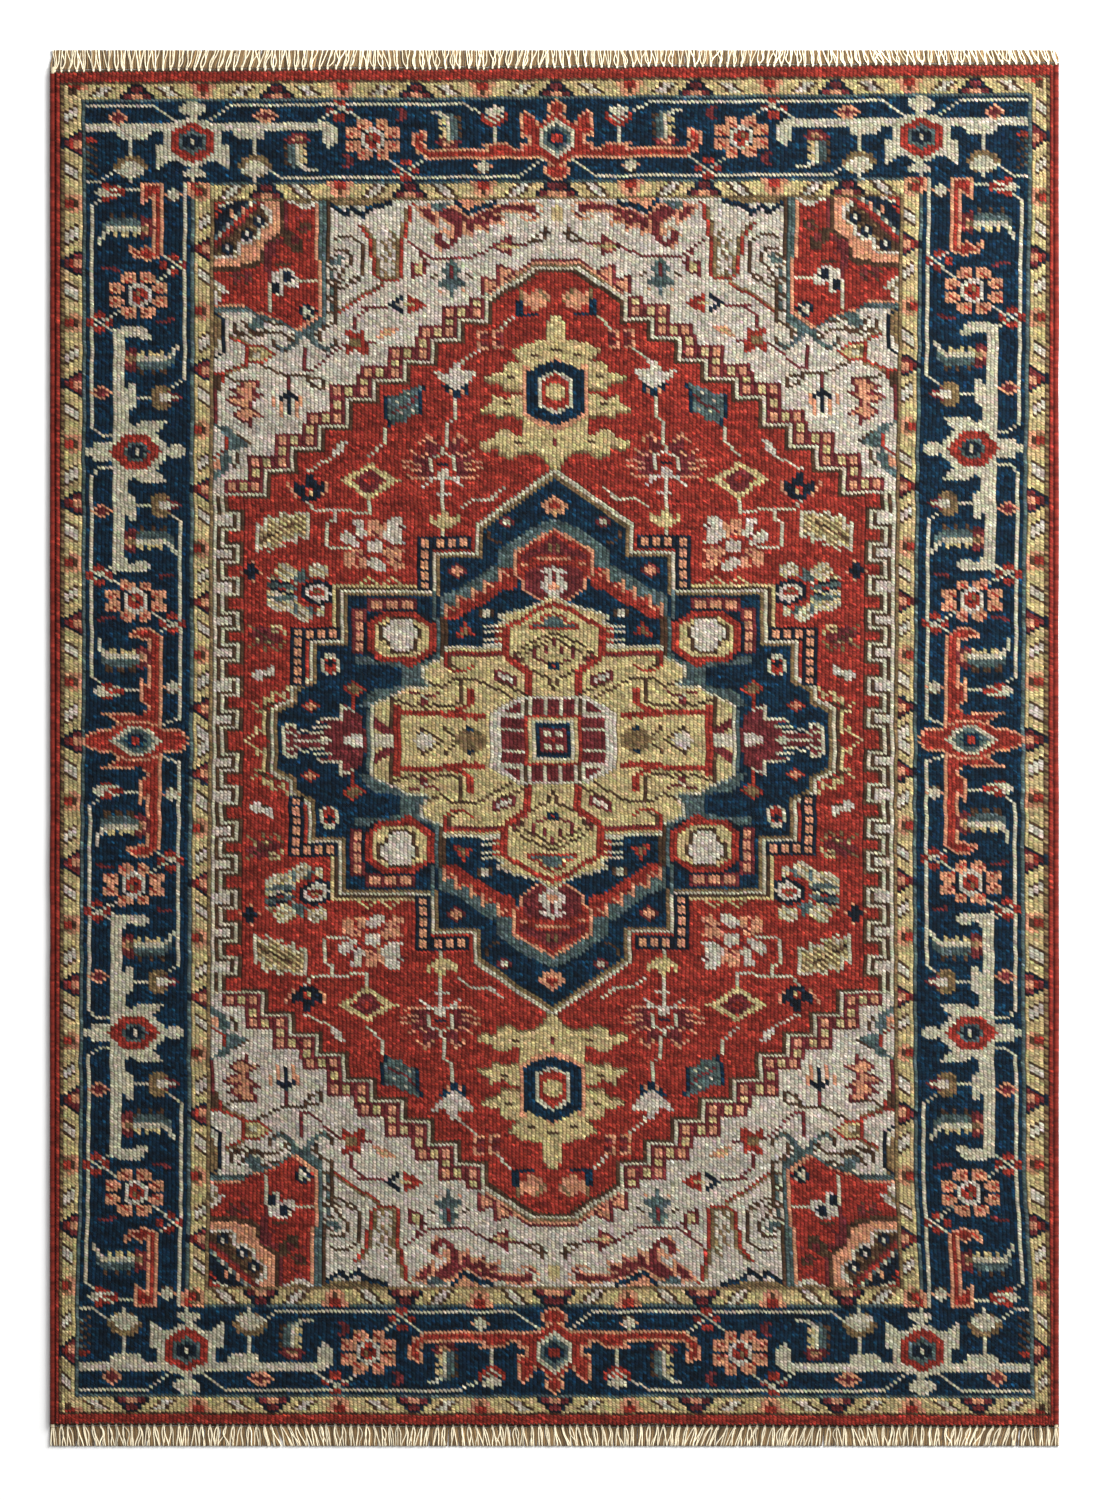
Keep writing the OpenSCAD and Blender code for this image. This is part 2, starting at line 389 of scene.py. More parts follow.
def cream_bar_in_end():
    """Cream bar with its tulips and hook, the cream star, and the leaves and rosette beside them."""
    box(CREAM, 60, 121, 227, 229)
    box(IVORY, 62, 120, 228, 228)
    fill(CREAM, (114, 227), (104, 227), (106, 224), (112.6, 224))
    fill(CREAM, (84, 227), (75, 227), (76, 224), (82.4, 223))
    fill(CREAM, (59, 230), (56, 226.6), (57, 222), (59.4, 219), (61, 225))
    for u in (110, 78):
        line(CREAM, (u, 224), (u, 217))
        tulip(u, 213)
    star_in_end(94, CREAM)
    fill(RED, *both_u(94, [(94, 230), (99.6, 226), (100, 218.8), (94, 214.4)]))
    fill(TEAL, *both_u(94, [(94, 227.4), (97.6, 224.6), (97.6, 220.4), (94, 217.6)]))
    fill(BLACK, *both_u(94, [(94, 225.4), (97, 223.8), (96.4, 221), (94, 219.6)]))
    box(CREAM, 94, 94, 222, 223)
    for v in (222, 219, 216, 213):
        line(BROWN, (121, v), (119, v - 2))
        knot(TEAL, (121, v - 1))
    fill(RED, (122, 225), (120, 224), (118, 222), (122, 223))
    diamond(113, 231.6)
    diamond(75, 232)
    leaf((67, 218))
    leaf((28, 227), turn=2)
    rosette(47.5, 223, 7, 7.2)
    for u, v in ((54, 215), (40, 232)):
        fill(MAROON, (u + 1.4, v + 3), (u - 0.6, v + 2), (u - 1.6, v), (u - 0.6, v - 2), (u + 1.4, v - 2),
             (u + 0.4, v))


def red_bar_in_end():
    """Flower on its stem, red bar with its hook, and the red star on the centre line."""
    line(CREAM, (16, 230), (16, 221))
    fill(RED, *both_u(16, [(16, 231), (20, 232.4), (19, 229.6), (17, 227.4)]))
    fill(CREAM, *both_u(16, [(16, 236), (16.6, 235), (19, 235), (18, 232.6), (16, 230)]))
    line(CREAM, (18, 231), (16, 229))
    line(CREAM, (14, 231), (16, 229))
    framed(RED, SALMON, (11, 219), (13, 221), (18.6, 221), (18, 219), (33, 219), (34.6, 222),
           (34, 226), (37, 225), (37, 221.6), (36, 218.4), (33, 216), (4, 216))
    star = both_u(0, [(0, 237), (2.4, 234), (1.2, 231.6), (4.6, 228.4), (8, 232.6), (9, 231.8),
        (9.2, 224.4), (7, 224), (7, 221), (9, 221), (9, 216), (4, 216), (1, 213), (3, 212), (3, 210),
        (0, 207.6)])
    framed(RED, SALMON, *star)
    box(RED, 5, 14, 217, 218)
    fill(CREAM, *both_u(0, [(0, 230.6), (4, 227), (4.6, 220), (0, 215)]))
    fill(TEAL, *both_u(0, [(0, 229), (3, 226), (3.4, 221), (0, 217)]))
    fill(NAVY, *both_u(0, [(0, 227), (2, 225), (2.4, 222), (0, 219)]))
    box(RED, 0, 1, 222, 224)
    cross_bud(19, 213)


def side_vines():
    """Vines of the side border, with a small red flower at two places."""
    for u, v in ((99, 177), (118, 156), (118, 62), (99, 44)):
        crossed_buds(u, v)
    line(CREAM, (116, 202), (120, 199), (120, 158), (114, 152))
    line(CREAM, (113, 160), (120, 154), (120, 117), (117, 114), (115, 114))
    line(CREAM, (96, 207), (96, 179), (103, 171))
    line(CREAM, (102, 181), (96, 175), (96, 135), (99, 132))
    line(CREAM, (115, 102), (118, 102), (120, 99), (120, 64), (112, 58))
    line(CREAM, (114, 66), (120, 60), (120, 24), (117, 21))
    line(CREAM, (99, 84), (97, 82), (97, 45), (102, 41))
    line(CREAM, (104, 48), (97, 42), (97, 8), (102, 6))
    for v in (204, 18.4):
        line(CREAM, (112, v + 1), (107, v + 1))
        fill(RED, *both_v(v, [(118, v + 3.4), (115.6, v + 3), (112, v + 1)]))
        fill(CREAM, *both_v(v, [(119.4, v + 0.6), (118, v + 2), (117, v + 1.6)]))
        line(CREAM, (116, v), (113, v + 2))
        line(CREAM, (116, v - 1), (113, v - 1))


def red_bars_at_side():
    """Red bars from the corner and from the centre star, with leaves, rosettes and buds."""
    framed(RED, SALMON, (107, 207), (102, 207), (102, 181), (105, 179), (109, 180), (110, 184),
           (108, 182), (106, 184), (104, 182), (104, 203), (107, 200))
    framed(RED, SALMON, (102, 4), (102, 39), (105, 42), (108, 42), (110.4, 39), (105, 38), (105, 20),
           (107.4, 23), (107.4, 16), (104.8, 13), (107, 9), (110, 10), (117, 10.4), (111, 5))
    fill(RED, (103, 12), (107, 10), (114, 10), (103, 4))
    cross_bud(99, 203)
    cross_bud(99, 20)
    leaf((111.6, 191), turn=1)
    leaf((104.6, 142), turn=3)
    leaf((104.6, 75), turn=3, flip=-1)
    leaf((112, 31), turn=1, flip=-1)
    rosette(108, 166, 7.6, 8.2)
    rosette(108.5, 52.6, 7.6, 7.4)
    curl(115, 175, -1, 1)
    curl(101, 157, -1, -1)
    curl(101, 61, 1, 1)
    curl(116, 45, 1, 1)
    diamond(117.2, 130)
    diamond(117.2, 86)


def cream_bar_at_side():
    """Cream bar with its hooks and tulips, and the cream star on it."""
    half = [(115, 153), (112, 154.4), (107, 155), (105, 151), (105, 149.4), (112, 151), (111.6, 131),
        (110, 133.6), (108, 134), (108.4, 125), (111, 122), (111, 119), (109, 117), (107, 120),
        (100, 119.4), (103.4, 115), (100.6, 110.6)]
    fill(CREAM, *both_v(108, half))
    # The lower end's hook is shallower.
    fill(NAVY, (103, 60), (103, 64), (113, 64), (114, 62), (111, 60))
    fill(CREAM, (111, 64), (106, 65), (106, 68), (109, 67), (110, 66), (112, 70))
    fill(CREAM, *both_v(108, [(122, 109), (120, 110), (120, 111), (115, 112)]))
    fill(CREAM, *both_v(108, [(101, 109), (99, 111), (97, 110), (95.4, 109)]))
    fill(RED, *both_v(108, [(115.6, 108), (111, 115), (106, 114.4), (101.4, 108)]))
    fill(TEAL, *both_v(108, [(112, 108.6), (109.6, 111.6), (107, 112), (105, 108)]))
    fill(BLACK, *both_v(108, [(111, 108), (109, 111), (107, 110), (106, 108)]))
    box(CREAM, 108, 108, 107, 109)
    for v in (128, 88):
        line(CREAM, (109, v), (105, v))
        fill(OLIVE, *both_v(v, [(105, v + 1), (104, v + 4), (102, v + 5), (100, v + 3)]))
        fill(IVORY, *both_v(v, [(102.4, v + 1), (100, v + 2), (98, v + 1)]))
        for dv in (-2, 2):
            line(MAROON, (100, v + dv), (97, v))
        line(CREAM, (101, v), (98, v))


def star_at_side():
    """Red star of the side border, on the centre line."""
    framed(RED, SALMON, *both_v(0, [(122, 1), (119, 3.4), (115, 4), (111, 7), (108, 7.4), (103, 6),
           (101, 4), (97, 4), (95.2, 0.6)]))
    fill(CREAM, *both_v(0, [(115.4, 0), (110, 6), (107, 5), (104.4, 4), (102, 0)]))
    fill(TEAL, *both_v(0, [(113.4, 0), (109, 5), (107, 4), (105.4, 3), (104, 0)]))
    fill(NAVY, *both_v(0, [(111.4, 0), (110, 3), (107, 3), (106, 0)]))
    box(RED, 108, 109, 0, 1)


# ---------------------------------------------------------------- field
FIELD_STEPS = ((18.5, 163), (25, 156), (32.5, 149), (39.5, 141), (47.5, 134.5), (54, 127), (61.5, 117),
    (68.5, 109), (75, 101), (88, 92.5))
MEDALLION_STEPS = ((20, 80), (31, 70), (55, 56), (63, 37))


def stairs(corners):
    """Down at each corner, then out to the next."""
    path = []
    for (u, v), (_, below) in zip(corners, corners[1:]):
        path += [(u, v), (u, below)]
    return path + [corners[-1]]


def bead(colour, frame, u, v):
    """One square of a chain, in its dark frame."""
    box(frame, u - 1.5, u + 1.5, v - 2, v + 2)
    box(colour, u - 0.5, u + 0.5, v - 1, v + 1)


def closed(edge, out):
    """An edge, moved outwards and closed round the middle of the rug."""
    return [(-1, edge[0][1] + out), *shift(edge, out, out), (edge[-1][0] + out, -1), (-1, -1)]


def nested(edge, *bands):
    """Bands that follow an edge, each as a colour and how far out it reaches."""
    for colour, out in bands:
        fill(colour, *closed(edge, out))


FIELD_EDGE = [(0, 175), (5.5, 175)] + stairs(FIELD_STEPS)
MEDALLION_EDGE = [(0, 100.5)] + stairs(MEDALLION_STEPS) + [(63.5, 23), (68.5, 19.6), (68.5, 15),
    (73.5, 11.4)]


def red_field():
    """Stepped red field: its edge, its chain of squares and its saw-tooth edge at the top."""
    for colour, out in ((MAROON, 4), (SALMON, 3), (OLIVE, 2)):
        fill(colour, (-1, 175 + out), (6, 175 + out), (18, 163 + out), (-1, 150))
    nested(FIELD_EDGE, (CREAM, 0.5), (BROWN, -0.5), (RED, -1.5))
    steps = FIELD_STEPS[::-1]
    for (_, v), (u, above) in zip(steps, steps[1:]):
        bead(GOLD, MAROON, u + 2.3, (v + above) / 2 + 3)
        for k, colour in enumerate((SALMON, GOLD, SALMON)):
            bead(colour, MAROON, u + 2.3 + 3.3 * k, v + 3)
    for u, v in ((18, 166), (14, 170)):
        fill(SALMON, (u + 1, v + 6), (u + 1, v), (u - 4, v + 4))
        line(MAROON, (u + 1, v), (u + 1, v + 6), (u - 3, v + 4))


def side_key():
    """Battlements between the side guard and the red field."""
    box(RED, 81, 84, 0, 91)
    for colour, u in ((CREAM, 88), (BROWN, 87), (CREAM, 86), (BROWN, 85)):
        box(colour, u, u, 0, 91)
    for n in range(7):
        v = 8 + 12.4 * n
        box(BROWN, 81, 85, v - 3.8, v + 3.8)
        box(CREAM, 82, 86, v - 3, v + 3)
        box(BROWN, 83, 87, v - 2, v + 2)
        box(IVORY, 84, 88, v - 1.2, v + 1.2)


PENDANT = [(-1, 158), (1, 158), (3, 153), (3, 149), (7, 147.6), (11.6, 145), (10, 142.4), (8, 140.6),
    (13, 140), (14, 137), (19, 135), (17, 133), (14.4, 134), (13.6, 131), (9, 131), (9, 129), (11, 129),
    (13, 126.6), (17, 129), (17, 126), (20, 123), (16, 123), (15, 120), (13, 122), (9, 120), (9, 114),
    (11, 114), (12.6, 116), (15, 115), (16, 113), (20, 111), (18, 108.8), (15, 109.4), (15, 107),
    (11, 105), (9, 108), (5, 107), (2.4, 105), (1.6, 101.6), (-1, 100)]


def pendant():
    """The gold palmette above the medallion, with four toothed arms a side."""
    fill(OLIVE, *shift(PENDANT, 0, -1))
    fill(GOLD, *PENDANT)
    fill(SALMON, (8.6, 138.6), (9, 121), (3, 116), (-1, 114), (-1, 145), (3, 143))
    fill(GOLD, (-1, 145), (7, 141), (7, 137), (-1, 143))
    fill(NAVY, (-1, 142), (7.6, 137), (7.6, 121.4), (-1, 116.6))
    fill(CREAM, (-1, 138), (4.6, 134.4), (5, 124.4), (-1, 120.6))
    fill(RED, (-1, 137), (3, 134), (4, 125), (-1, 122))
    fill(GOLD, (-1, 133), (2, 132), (3, 128), (-1, 125.6))
    box(BROWN, 0, 1, 145, 145)
    for u, v in ((5, 143), (11, 135), (12, 125), (9, 111)):
        box(BROWN, u, u + 1, v, v)
    box(MAROON, 0, 0, 110, 112)


def leaf_panel():
    """Leaf panel of the ivory ground, outlined in red and olive, and its ribbon down to the field."""
    for colour, d in ((OLIVE, 1), (RED, 0)):
        line(colour, (51 - d, 191), (47.6 - d, 185), (47.4 - d, 174), (45, 171 + d), (41, 171 + d),
             (40 + d, 172), (40 + d, 186), (38.6 + d, 188), (38.4 + d, 197), (37, 199))
        line(colour, (45, 169 + d), (56, 159.4 + d))
    veins = ((43, 189), (45, 185), (42, 183), (45, 180), (42, 178), (45, 175), (42, 175), (43, 186),
        (44, 182))
    for u, v in veins:
        line(OLIVE, (u, v), (u - 1.4, v - 2))


def cloud_edge():
    """Navy cloud edge under the guard."""
    line(OLIVE, (58, 200), (44, 200))
    line(OLIVE, (57, 199), (46, 199))
    for shade, dv in ((NAVY, 1), (BLACK, 0)):
        line(shade, (59, 199 + dv), (54, 194.6 + dv), (53, 197 + dv), (50, 194 + dv), (49, 197 + dv),
             (43, 199 + dv))


def brown_scrolls():
    """Brown scrolls with a teal curl beside the corner piece."""
    line(BROWN, (57, 186), (55, 187), (52, 186.4), (50, 184), (50, 174), (51, 171), (56, 167.6))
    line(BROWN, (57, 182), (54, 182), (53, 180), (53, 177), (56, 173), (56.8, 171), (57, 156))
    line(BROWN, (57, 180), (58, 179))
    fill(TEAL, (60, 178), (58, 176), (56, 177), (55, 179), (56, 181), (57, 179))
    for v in (173, 167, 161):
        box(TEAL, 58, 58, v - 1, v + 1)
        knot(BROWN, (57, v + 2), (58, v + 2), (58, v - 2), (59, v - 2), (59, v + 3))
    line(BROWN, (56.6, 170), (52.4, 171.6))
    line(BROWN, (61, 151), (60, 154), (57, 155))


def maroon_scroll():
    """Maroon scroll at the centre of the end, with a hook on each side, under a navy cloud."""
    framed(MAROON, SALMON, (31, 196), (29, 198), (27, 198), (23, 194), (20.6, 194.8), (18.4, 197),
           (15, 198), (14.6, 194.6), (14, 191.4), (17, 192.8), (18, 189.4), (19.6, 190.4), (21.2, 190.6),
           (22, 187.4), (24, 190), (26, 189), (28, 192), (30, 194))
    for hook in (
            [(25, 190), (25, 187), (26, 185), (28, 183), (29.6, 185), (30, 188)],
            [(17, 195), (13.6, 197), (9, 197.6), (6, 196.6), (5, 194.4)]):
        for d in (-1, 2):
            line(SALMON, *shift(hook, 0.5 - d, d))
        stroke(MAROON, *hook)
    line(SALMON, (5, 194), (6, 193), (8, 193), (9, 194))
    line(SALMON, (30, 189), (28, 188))
    framed(MAROON, SALMON, (36, 198), (34, 194), (31, 191), (31, 195.4), (33.4, 198.6))
    fill(SALMON, (27, 201), (26, 197), (21, 197), (18, 201))
    for dv in (0, 1):
        line(NAVY, (26, 198.6 + dv), (23, 195.4 + dv), (21, 195.6 + dv), (20, 197.4 + dv),
             (16, 198.6 + dv))
    fill(TEAL, (33.4, 200), (31, 196), (27, 200))
    fill(GOLD, (2, 196), (0, 199), (0, 192), (1, 192.6))


def ground_vines():
    """Vines on the ivory ground, with a red leaf, a teal lily, a tulip and small buds."""
    line(MAROON, (38, 185), (32, 179), (22, 179), (17, 183))
    line(MAROON, (34.6, 181), (34.4, 178))
    framed(GOLD, MAROON, (33.4, 177), (36.6, 177.4), (37, 172), (34, 174))
    framed(SALMON, MAROON, (17, 183.4), (13, 185), (12, 187), (12, 184), (8, 184), (12, 182), (12, 180))
    line(GOLD, (15, 183), (10, 183))
    line(BROWN, (7, 185), (4, 185), (2, 188), (3, 190))
    line(BROWN, (7, 185), (5, 187), (3, 188))
    fill(TEAL, *both_u(27, [(27, 179), (30, 174.4), (28, 171.8), (30, 170.6), (31, 168),
         (28.2, 168.6), (27, 164)]))
    for u, out in ((23, -1), (31, 1)):
        line(BROWN, (u, 173), (u + out, 172))
    for u in (24, 30):
        box(SALMON, u, u, 167, 167)
    line(MAROON, (27, 176), (27, 172))
    line(MAROON, (49, 160), (52, 157), (52, 153))
    line(MAROON, (44, 161), (50, 161))
    line(BLACK, (40, 165), (43, 162), (40, 159))
    line(BLACK, (40, 164), (42, 162), (40, 160))
    fill(RED, (38, 165.4), (36, 164), (34, 162), (36, 160), (38.4, 158))
    fill(GOLD, (40, 163), (37, 162), (40, 161))
    fill(RED, (55, 153), (53, 152), (51, 152), (49, 154), (50, 150), (49, 147), (49, 143), (52, 145.4),
         (55, 143), (53.6, 149))
    box(OLIVE, 51, 53, 147, 149)
    framed(GOLD, SALMON, (46, 150.4), (43, 150.6), (41, 153), (44, 152.6))
    line(MAROON, (47, 148), (49, 148))
    line(MAROON, (55, 146.6), (63, 138.4), (65, 138), (65, 146))


def ground_flowers():
    """Towards the side of the ivory ground: pink tree, dark arrow, rhombus flower, leaf, teal dragon."""
    framed(SALMON, MAROON, (76.6, 134), (81, 134), (81, 131.6), (84, 131.4), (81, 128.4),
           (85, 127.2), (81, 123.6), (83.4, 121), (80, 118.6), (79, 117.4), (78.6, 120), (76.4, 121),
           (79, 124), (79, 126), (76, 129), (78.4, 129))
    for du in (-2, 2):
        line(SALMON, (69 + du, 126), (69 + du, 121))
    line(SALMON, (73, 128), (73, 125))
    line(SALMON, (66, 128), (66, 125))
    line(BLACK, (71, 127), (69, 129), (67, 127))
    line(BLACK, (71, 128), (69, 130), (67, 128))
    line(BLACK, (69, 129), (69, 122))
    line(MAROON, (69, 136), (69, 131))
    line(BROWN, (76, 140), (72, 137), (69, 136), (62, 135.4), (60, 134), (60, 131), (63, 132), (64, 135))
    framed(GOLD, RED, (80, 147), (77, 147.4), (73, 144), (76, 141), (80, 141))
    box(OLIVE, 77, 79, 143, 145)
    box(CREAM, 77, 78, 143, 144)
    line(RED, (84, 150), (80, 147))
    line(OLIVE, (84, 151), (80, 148))
    line(RED, (80, 140), (86, 137), (88, 137))
    line(OLIVE, (80, 139), (86, 136))
    fill(BROWN, (89, 137), (86, 137), (87, 131), (89, 131))
    fill(RED, (87, 137), (85, 136), (87, 132))
    line(BROWN, (85, 136), (83, 134), (80, 134))
    box(MAROON, 88, 88, 118, 131)
    fill(TEAL, (88.6, 118.4), (84.6, 117), (82, 113), (79, 110.6), (82, 108.6), (84.4, 108), (83.6, 104),
         (85, 101), (89, 97), (88.6, 100), (86.2, 103), (86, 107), (85, 113))
    line(BROWN, (82, 114), (79, 111))
    line(BROWN, (82, 107), (82, 105), (83, 102))
    line(RED, (85, 113), (85, 109), (88, 106))
    fill(SALMON, (86, 106), (88, 105), (89, 101), (87, 102))
    fill(OLIVE, (89, 161), (87, 160), (86.4, 152), (88.6, 144))
    line(BLACK, (88, 159), (86, 157), (85.6, 146), (88, 143))


def tip_curls():
    """Teal and brown curls at the tip of the corner piece."""
    for sign in (-1, 1):
        u = 65 + 0.4 * sign
        curl_path = [(u, 152), (u + 2 * sign, 148), (u + 4.4 * sign, 145), (u + 6.6 * sign, 147),
            (u + 7 * sign, 149)]
        line(TEAL, *curl_path[:4])
        line(TEAL, *shift(curl_path[:4], sign, 0))
        line(BROWN, *shift(curl_path[2:], 0.6 * sign, 0))
        line(BROWN, (u + 3 * sign, 151), (u + 4 * sign, 149))
    line(BROWN, (83, 151.6), (79, 150.4), (75, 151.6), (71, 152), (68, 149))
    line(BROWN, (83, 155), (83, 153), (80, 151))
    fill(TEAL, (80, 154.6), (77.6, 157.6), (76, 157), (76, 154), (78, 152.4))
    line(BROWN, (81, 156), (78.6, 152), (75, 152.6))
    line(BROWN, (75, 156), (72, 155), (70, 155))


def corner_piece():
    """Red quarter of a medallion in the corner of the field."""
    outline = [(79, 159.6), (76, 157), (71.6, 155.6), (65, 150), (59.5, 155.4), (60, 201), (89, 201)]
    for colour, du, dv in ((TEAL, 0, 0), (SALMON, 1.2, 2), (RED, 2.2, 3)):
        fill(colour, *shift(outline[:-2], du, dv), (60 + du, 201), (89, 201), (89, 160 + dv))
    box(BROWN, 59, 59, 178, 200)
    box(TEAL, 60, 61, 179, 200)
    box(SALMON, 62, 62, 179, 200)
    fill(IVORY, (70, 200.6), (66.5, 198), (63.6, 197), (61.6, 200.6))
    fill(OLIVE, (69, 201), (66, 199.4), (64, 199), (63, 201))


def quarter_flower():
    """Salmon lobes in the corner, a white frill round dark buds, and a striped band across."""
    fill(BROWN, (89, 175), (84, 174.8), (80, 175.2), (76.6, 176.4), (70, 190), (70, 201), (89, 201))
    fill(SALMON, (89, 177), (84, 176.6), (80, 177.2), (77, 179), (76.2, 181), (75.8, 185), (72.4, 188),
         (71.6, 190), (72, 201), (89, 201))
    fill(IVORY, (89, 180), (84, 179), (82, 181), (81, 185), (79, 185), (77, 187), (76, 191), (74.2, 192),
         (73.4, 194), (74, 197), (77, 201))
    fill(BROWN, (89, 181), (83.4, 181), (82, 186), (78, 188), (78, 191), (75, 193), (75, 195.4),
         (78, 201), (89, 201))
    for u, v in ((85, 183), (80, 188), (77, 193)):
        fill(BLACK, *both_u(u, [(u + 0.8, v + 2.2), (u + 2, v - 0.9), (u, v - 3)]))
        knot(IVORY, (u, v), (u, v + 1))
        knot(OLIVE, (u - 2, v - 2), (u + 2, v + 2), (u - 2, v + 2), (u + 2, v - 2))
    for colour, v in ((MAROON, 182.6), (RED, 183.8), (TEAL, 185.6), (BLACK, 187.6), (RED, 194)):
        fill(colour, (88.6, v), (88.6 - 0.75 * (200.6 - v), 200.6), (89, 201))
    for n in range(5):
        u, v = (87 - 2 * n, 188.6 + 2.7 * n)
        box(SALMON if n == 3 else CREAM, u, u, v - 0.4, v + 0.9)
    box(SALMON, 84, 84, 195, 197)
    line(CREAM, (87, 199), (84, 200))
    line(BLACK, (88, 197), (85, 199))


def corner_flowers():
    """Maroon scrolls, hanging white flower, checked bud and leaf of the corner piece."""
    box(MAROON, 70, 70, 187, 200)
    fill(MAROON, (75, 185), (71, 187), (70, 185), (72.8, 184), (73.2, 177), (73, 170), (74.4, 170),
         (75.2, 176))
    fill(BROWN, (71, 189), (69, 190), (66.4, 187), (65, 184.6), (66, 182), (68, 181), (69.6, 184.4),
         (71, 186))
    fill(MAROON, (69, 188), (67, 187), (66, 184.6), (68, 184))
    framed(MAROON, BROWN, (66.6, 190), (66, 192), (64, 192), (64, 190), (65, 188.6))
    knot(MAROON, (66, 195), (65, 196), (67, 194), (72, 180), (71, 178), (64, 186))
    line(BROWN, (72, 177), (69, 177))
    for u in (83, 80):
        box(MAROON, u - 1, u, 171, 174)
        knot(BROWN, (u + 1, 173), (u - 1, 172), (u, 170))
    fill(IVORY, (74, 174), (70, 176), (68, 174), (67, 172), (67, 169), (69, 168), (70, 170), (71, 166),
         (72, 165))
    fill(BLACK, (70, 175), (68.2, 174), (67.8, 171.4), (69, 170), (71, 171))
    fill(BLACK, (74, 170), (72, 171), (71.2, 168), (72.4, 166), (74, 167))
    line(CREAM, (74, 170), (74, 160))
    line(CREAM, (67, 171), (62, 171))
    fill(BLACK, (64.4, 163.4), (61.6, 160), (64.4, 156), (67, 160))
    line(CREAM, (65.4, 161), (63, 158))
    line(CREAM, (63, 161), (65.4, 158))
    fill(IVORY, (88, 172), (84, 166), (86, 167), (87, 163.6), (88.6, 162))
    line(OLIVE, (88, 169), (87, 166))


def crocus():
    """White crocus over a navy cup, on a stem that runs down to the carnation."""
    line(CREAM, (20, 145), (23, 142), (25, 139))
    fill(IVORY, (27, 141), (24, 141), (25, 137), (21, 138), (20.4, 136), (22.4, 133), (25.6, 130),
         (30, 134), (31.6, 138), (28, 136), (27, 139))
    fill(NAVY, (29.4, 133), (28, 129), (25.6, 127), (23, 129), (22, 133), (25, 130.4))
    for u in (24, 27):
        box(SALMON, u, u, 129, 130)
    line(CREAM, (26, 127), (26, 120), (28, 118), (28, 111), (29, 108))


def teal_leaf():
    """Teal leaf with a navy rim."""
    fill(TEAL, (34, 132.4), (39, 130.4), (41, 128), (44, 129), (43, 117), (41, 119), (39, 119), (37, 122),
         (35, 122))
    line(NAVY, (44, 128), (44, 122), (43, 117))
    line(NAVY, (34, 132), (35, 129), (35, 122))
    line(MAROON, (42, 122), (38, 125), (36, 128))
    knot(CREAM, (40, 122), (37, 123), (41, 126), (38, 129))
    line(CREAM, (44, 116), (44, 111), (48, 106))


def carnation():
    """Maroon wings with salmon fringes over a white flower, and its stem."""
    for su in (-1, 1):
        def at(du, v):
            """A place that is du knots to one side of the flower's middle."""
            return (28.7 + su * du, v)
        fill(MAROON, at(0.9, 109), at(1.9, 112.4), at(4.7, 112), at(4.5, 108), at(7.9, 105.6),
             at(7.3, 99.4), at(3.3, 97), at(2.9, 104))
        for v in (103.6, 101.4):
            line(SALMON, at(10, v + 0.4), at(6, v - 0.6))
        line(SALMON, at(9, 98.6), at(4, 98))
        line(SALMON, at(8, 108), at(5.6, 106), at(4, 106.6))
        line(SALMON, at(6, 111), at(4, 114), at(2.6, 111))
        line(CREAM, at(0, 108), at(1.4, 106.4), at(3.2, 105), at(3, 101))
    box(BLACK, 28, 30, 103, 103)
    fill(IVORY, *both_u(28.7, [(29, 102), (30.2, 100), (30, 98), (32, 97), (34, 94), (32.4, 98),
         (30, 99)]))
    line(IVORY, (29, 98), (29, 90))
    line(IVORY, (34, 95), (31, 98), (27, 98), (24, 95))
    box(IVORY, 27, 30, 92, 92)
    line(CREAM, (29, 90), (29, 75))
    fill(GOLD, *both_u(28.7, [(29, 86.4), (31, 82.4), (32.8, 85.4), (33, 82), (28.7, 78.6)]))


def small_flowers():
    """Small flower under the saw-tooth edge, and the bracketed one beside it."""
    fill(SALMON, (10, 168), (7, 165.4), (4, 168), (1.2, 164), (3, 160.4), (7.4, 159))
    line(OLIVE, (9, 167), (9, 161))
    line(OLIVE, (4, 167), (2, 163))
    for d in (0, 1):
        line(NAVY, (10 - d, 163), (10 - d, 158), (5, 158))
    box(RED, 7, 8, 160, 161)
    line(CREAM, (11, 157), (14, 153))
    for u in (15, 19):
        for v in (147.4, 150.6):
            box(SALMON, u - 1, u + 1, v - 1, v + 1)
            box(MAROON, u - 1, u, v - 0.6, v + 0.6)


def gold_flower_and_iris():
    """Gold diamond flower and the navy iris with its vine."""
    fill(GOLD, *both_u(48, [(48, 104), (44.6, 100.6), (40, 97), (44, 94), (48, 89)]))
    fill(RED, *both_u(48, [(48, 102), (43.6, 97), (48, 92)]))
    fill(MAROON, *both_u(48, [(48, 101), (44.6, 98), (45.6, 94), (48, 92)]))
    fill(RED, *both_u(48, [(48, 99), (46.4, 97), (48, 95)]))
    line(CREAM, (48, 89), (48, 85), (57, 86), (62, 86), (64, 89))
    fill(BLACK, *both_u(63.5, [(63.5, 100), (65, 97.6), (65, 95), (68, 97), (68, 94), (66, 91),
         (65, 89.8)]))
    fill(RED, *both_u(63.5, [(64, 95), (65, 93.4), (63.5, 91)]))
    box(GOLD, 63, 63, 92, 93)
    line(SALMON, (69, 96), (67, 91))
    line(SALMON, (59, 96), (59.6, 92))
    line(CREAM, (64, 100.6), (58, 105))
    fill(IVORY, (58, 107), (55.6, 111.4), (54, 111), (55, 108), (57, 105))


def olive_leaf():
    """Serrated olive leaf with a cream edge."""
    framed(OLIVE, CREAM, (77, 81), (75, 79), (74.4, 84), (72, 82), (71, 85), (69, 84), (64, 85.4),
           (64, 76), (67, 77), (67, 74), (70, 75.6), (70.4, 73.4), (73.6, 71.4), (74, 73.6), (77, 71))
    mottle(GOLD, OLIVE, 64, 78, 71, 86)
    line(BROWN, (76, 75), (68, 81))


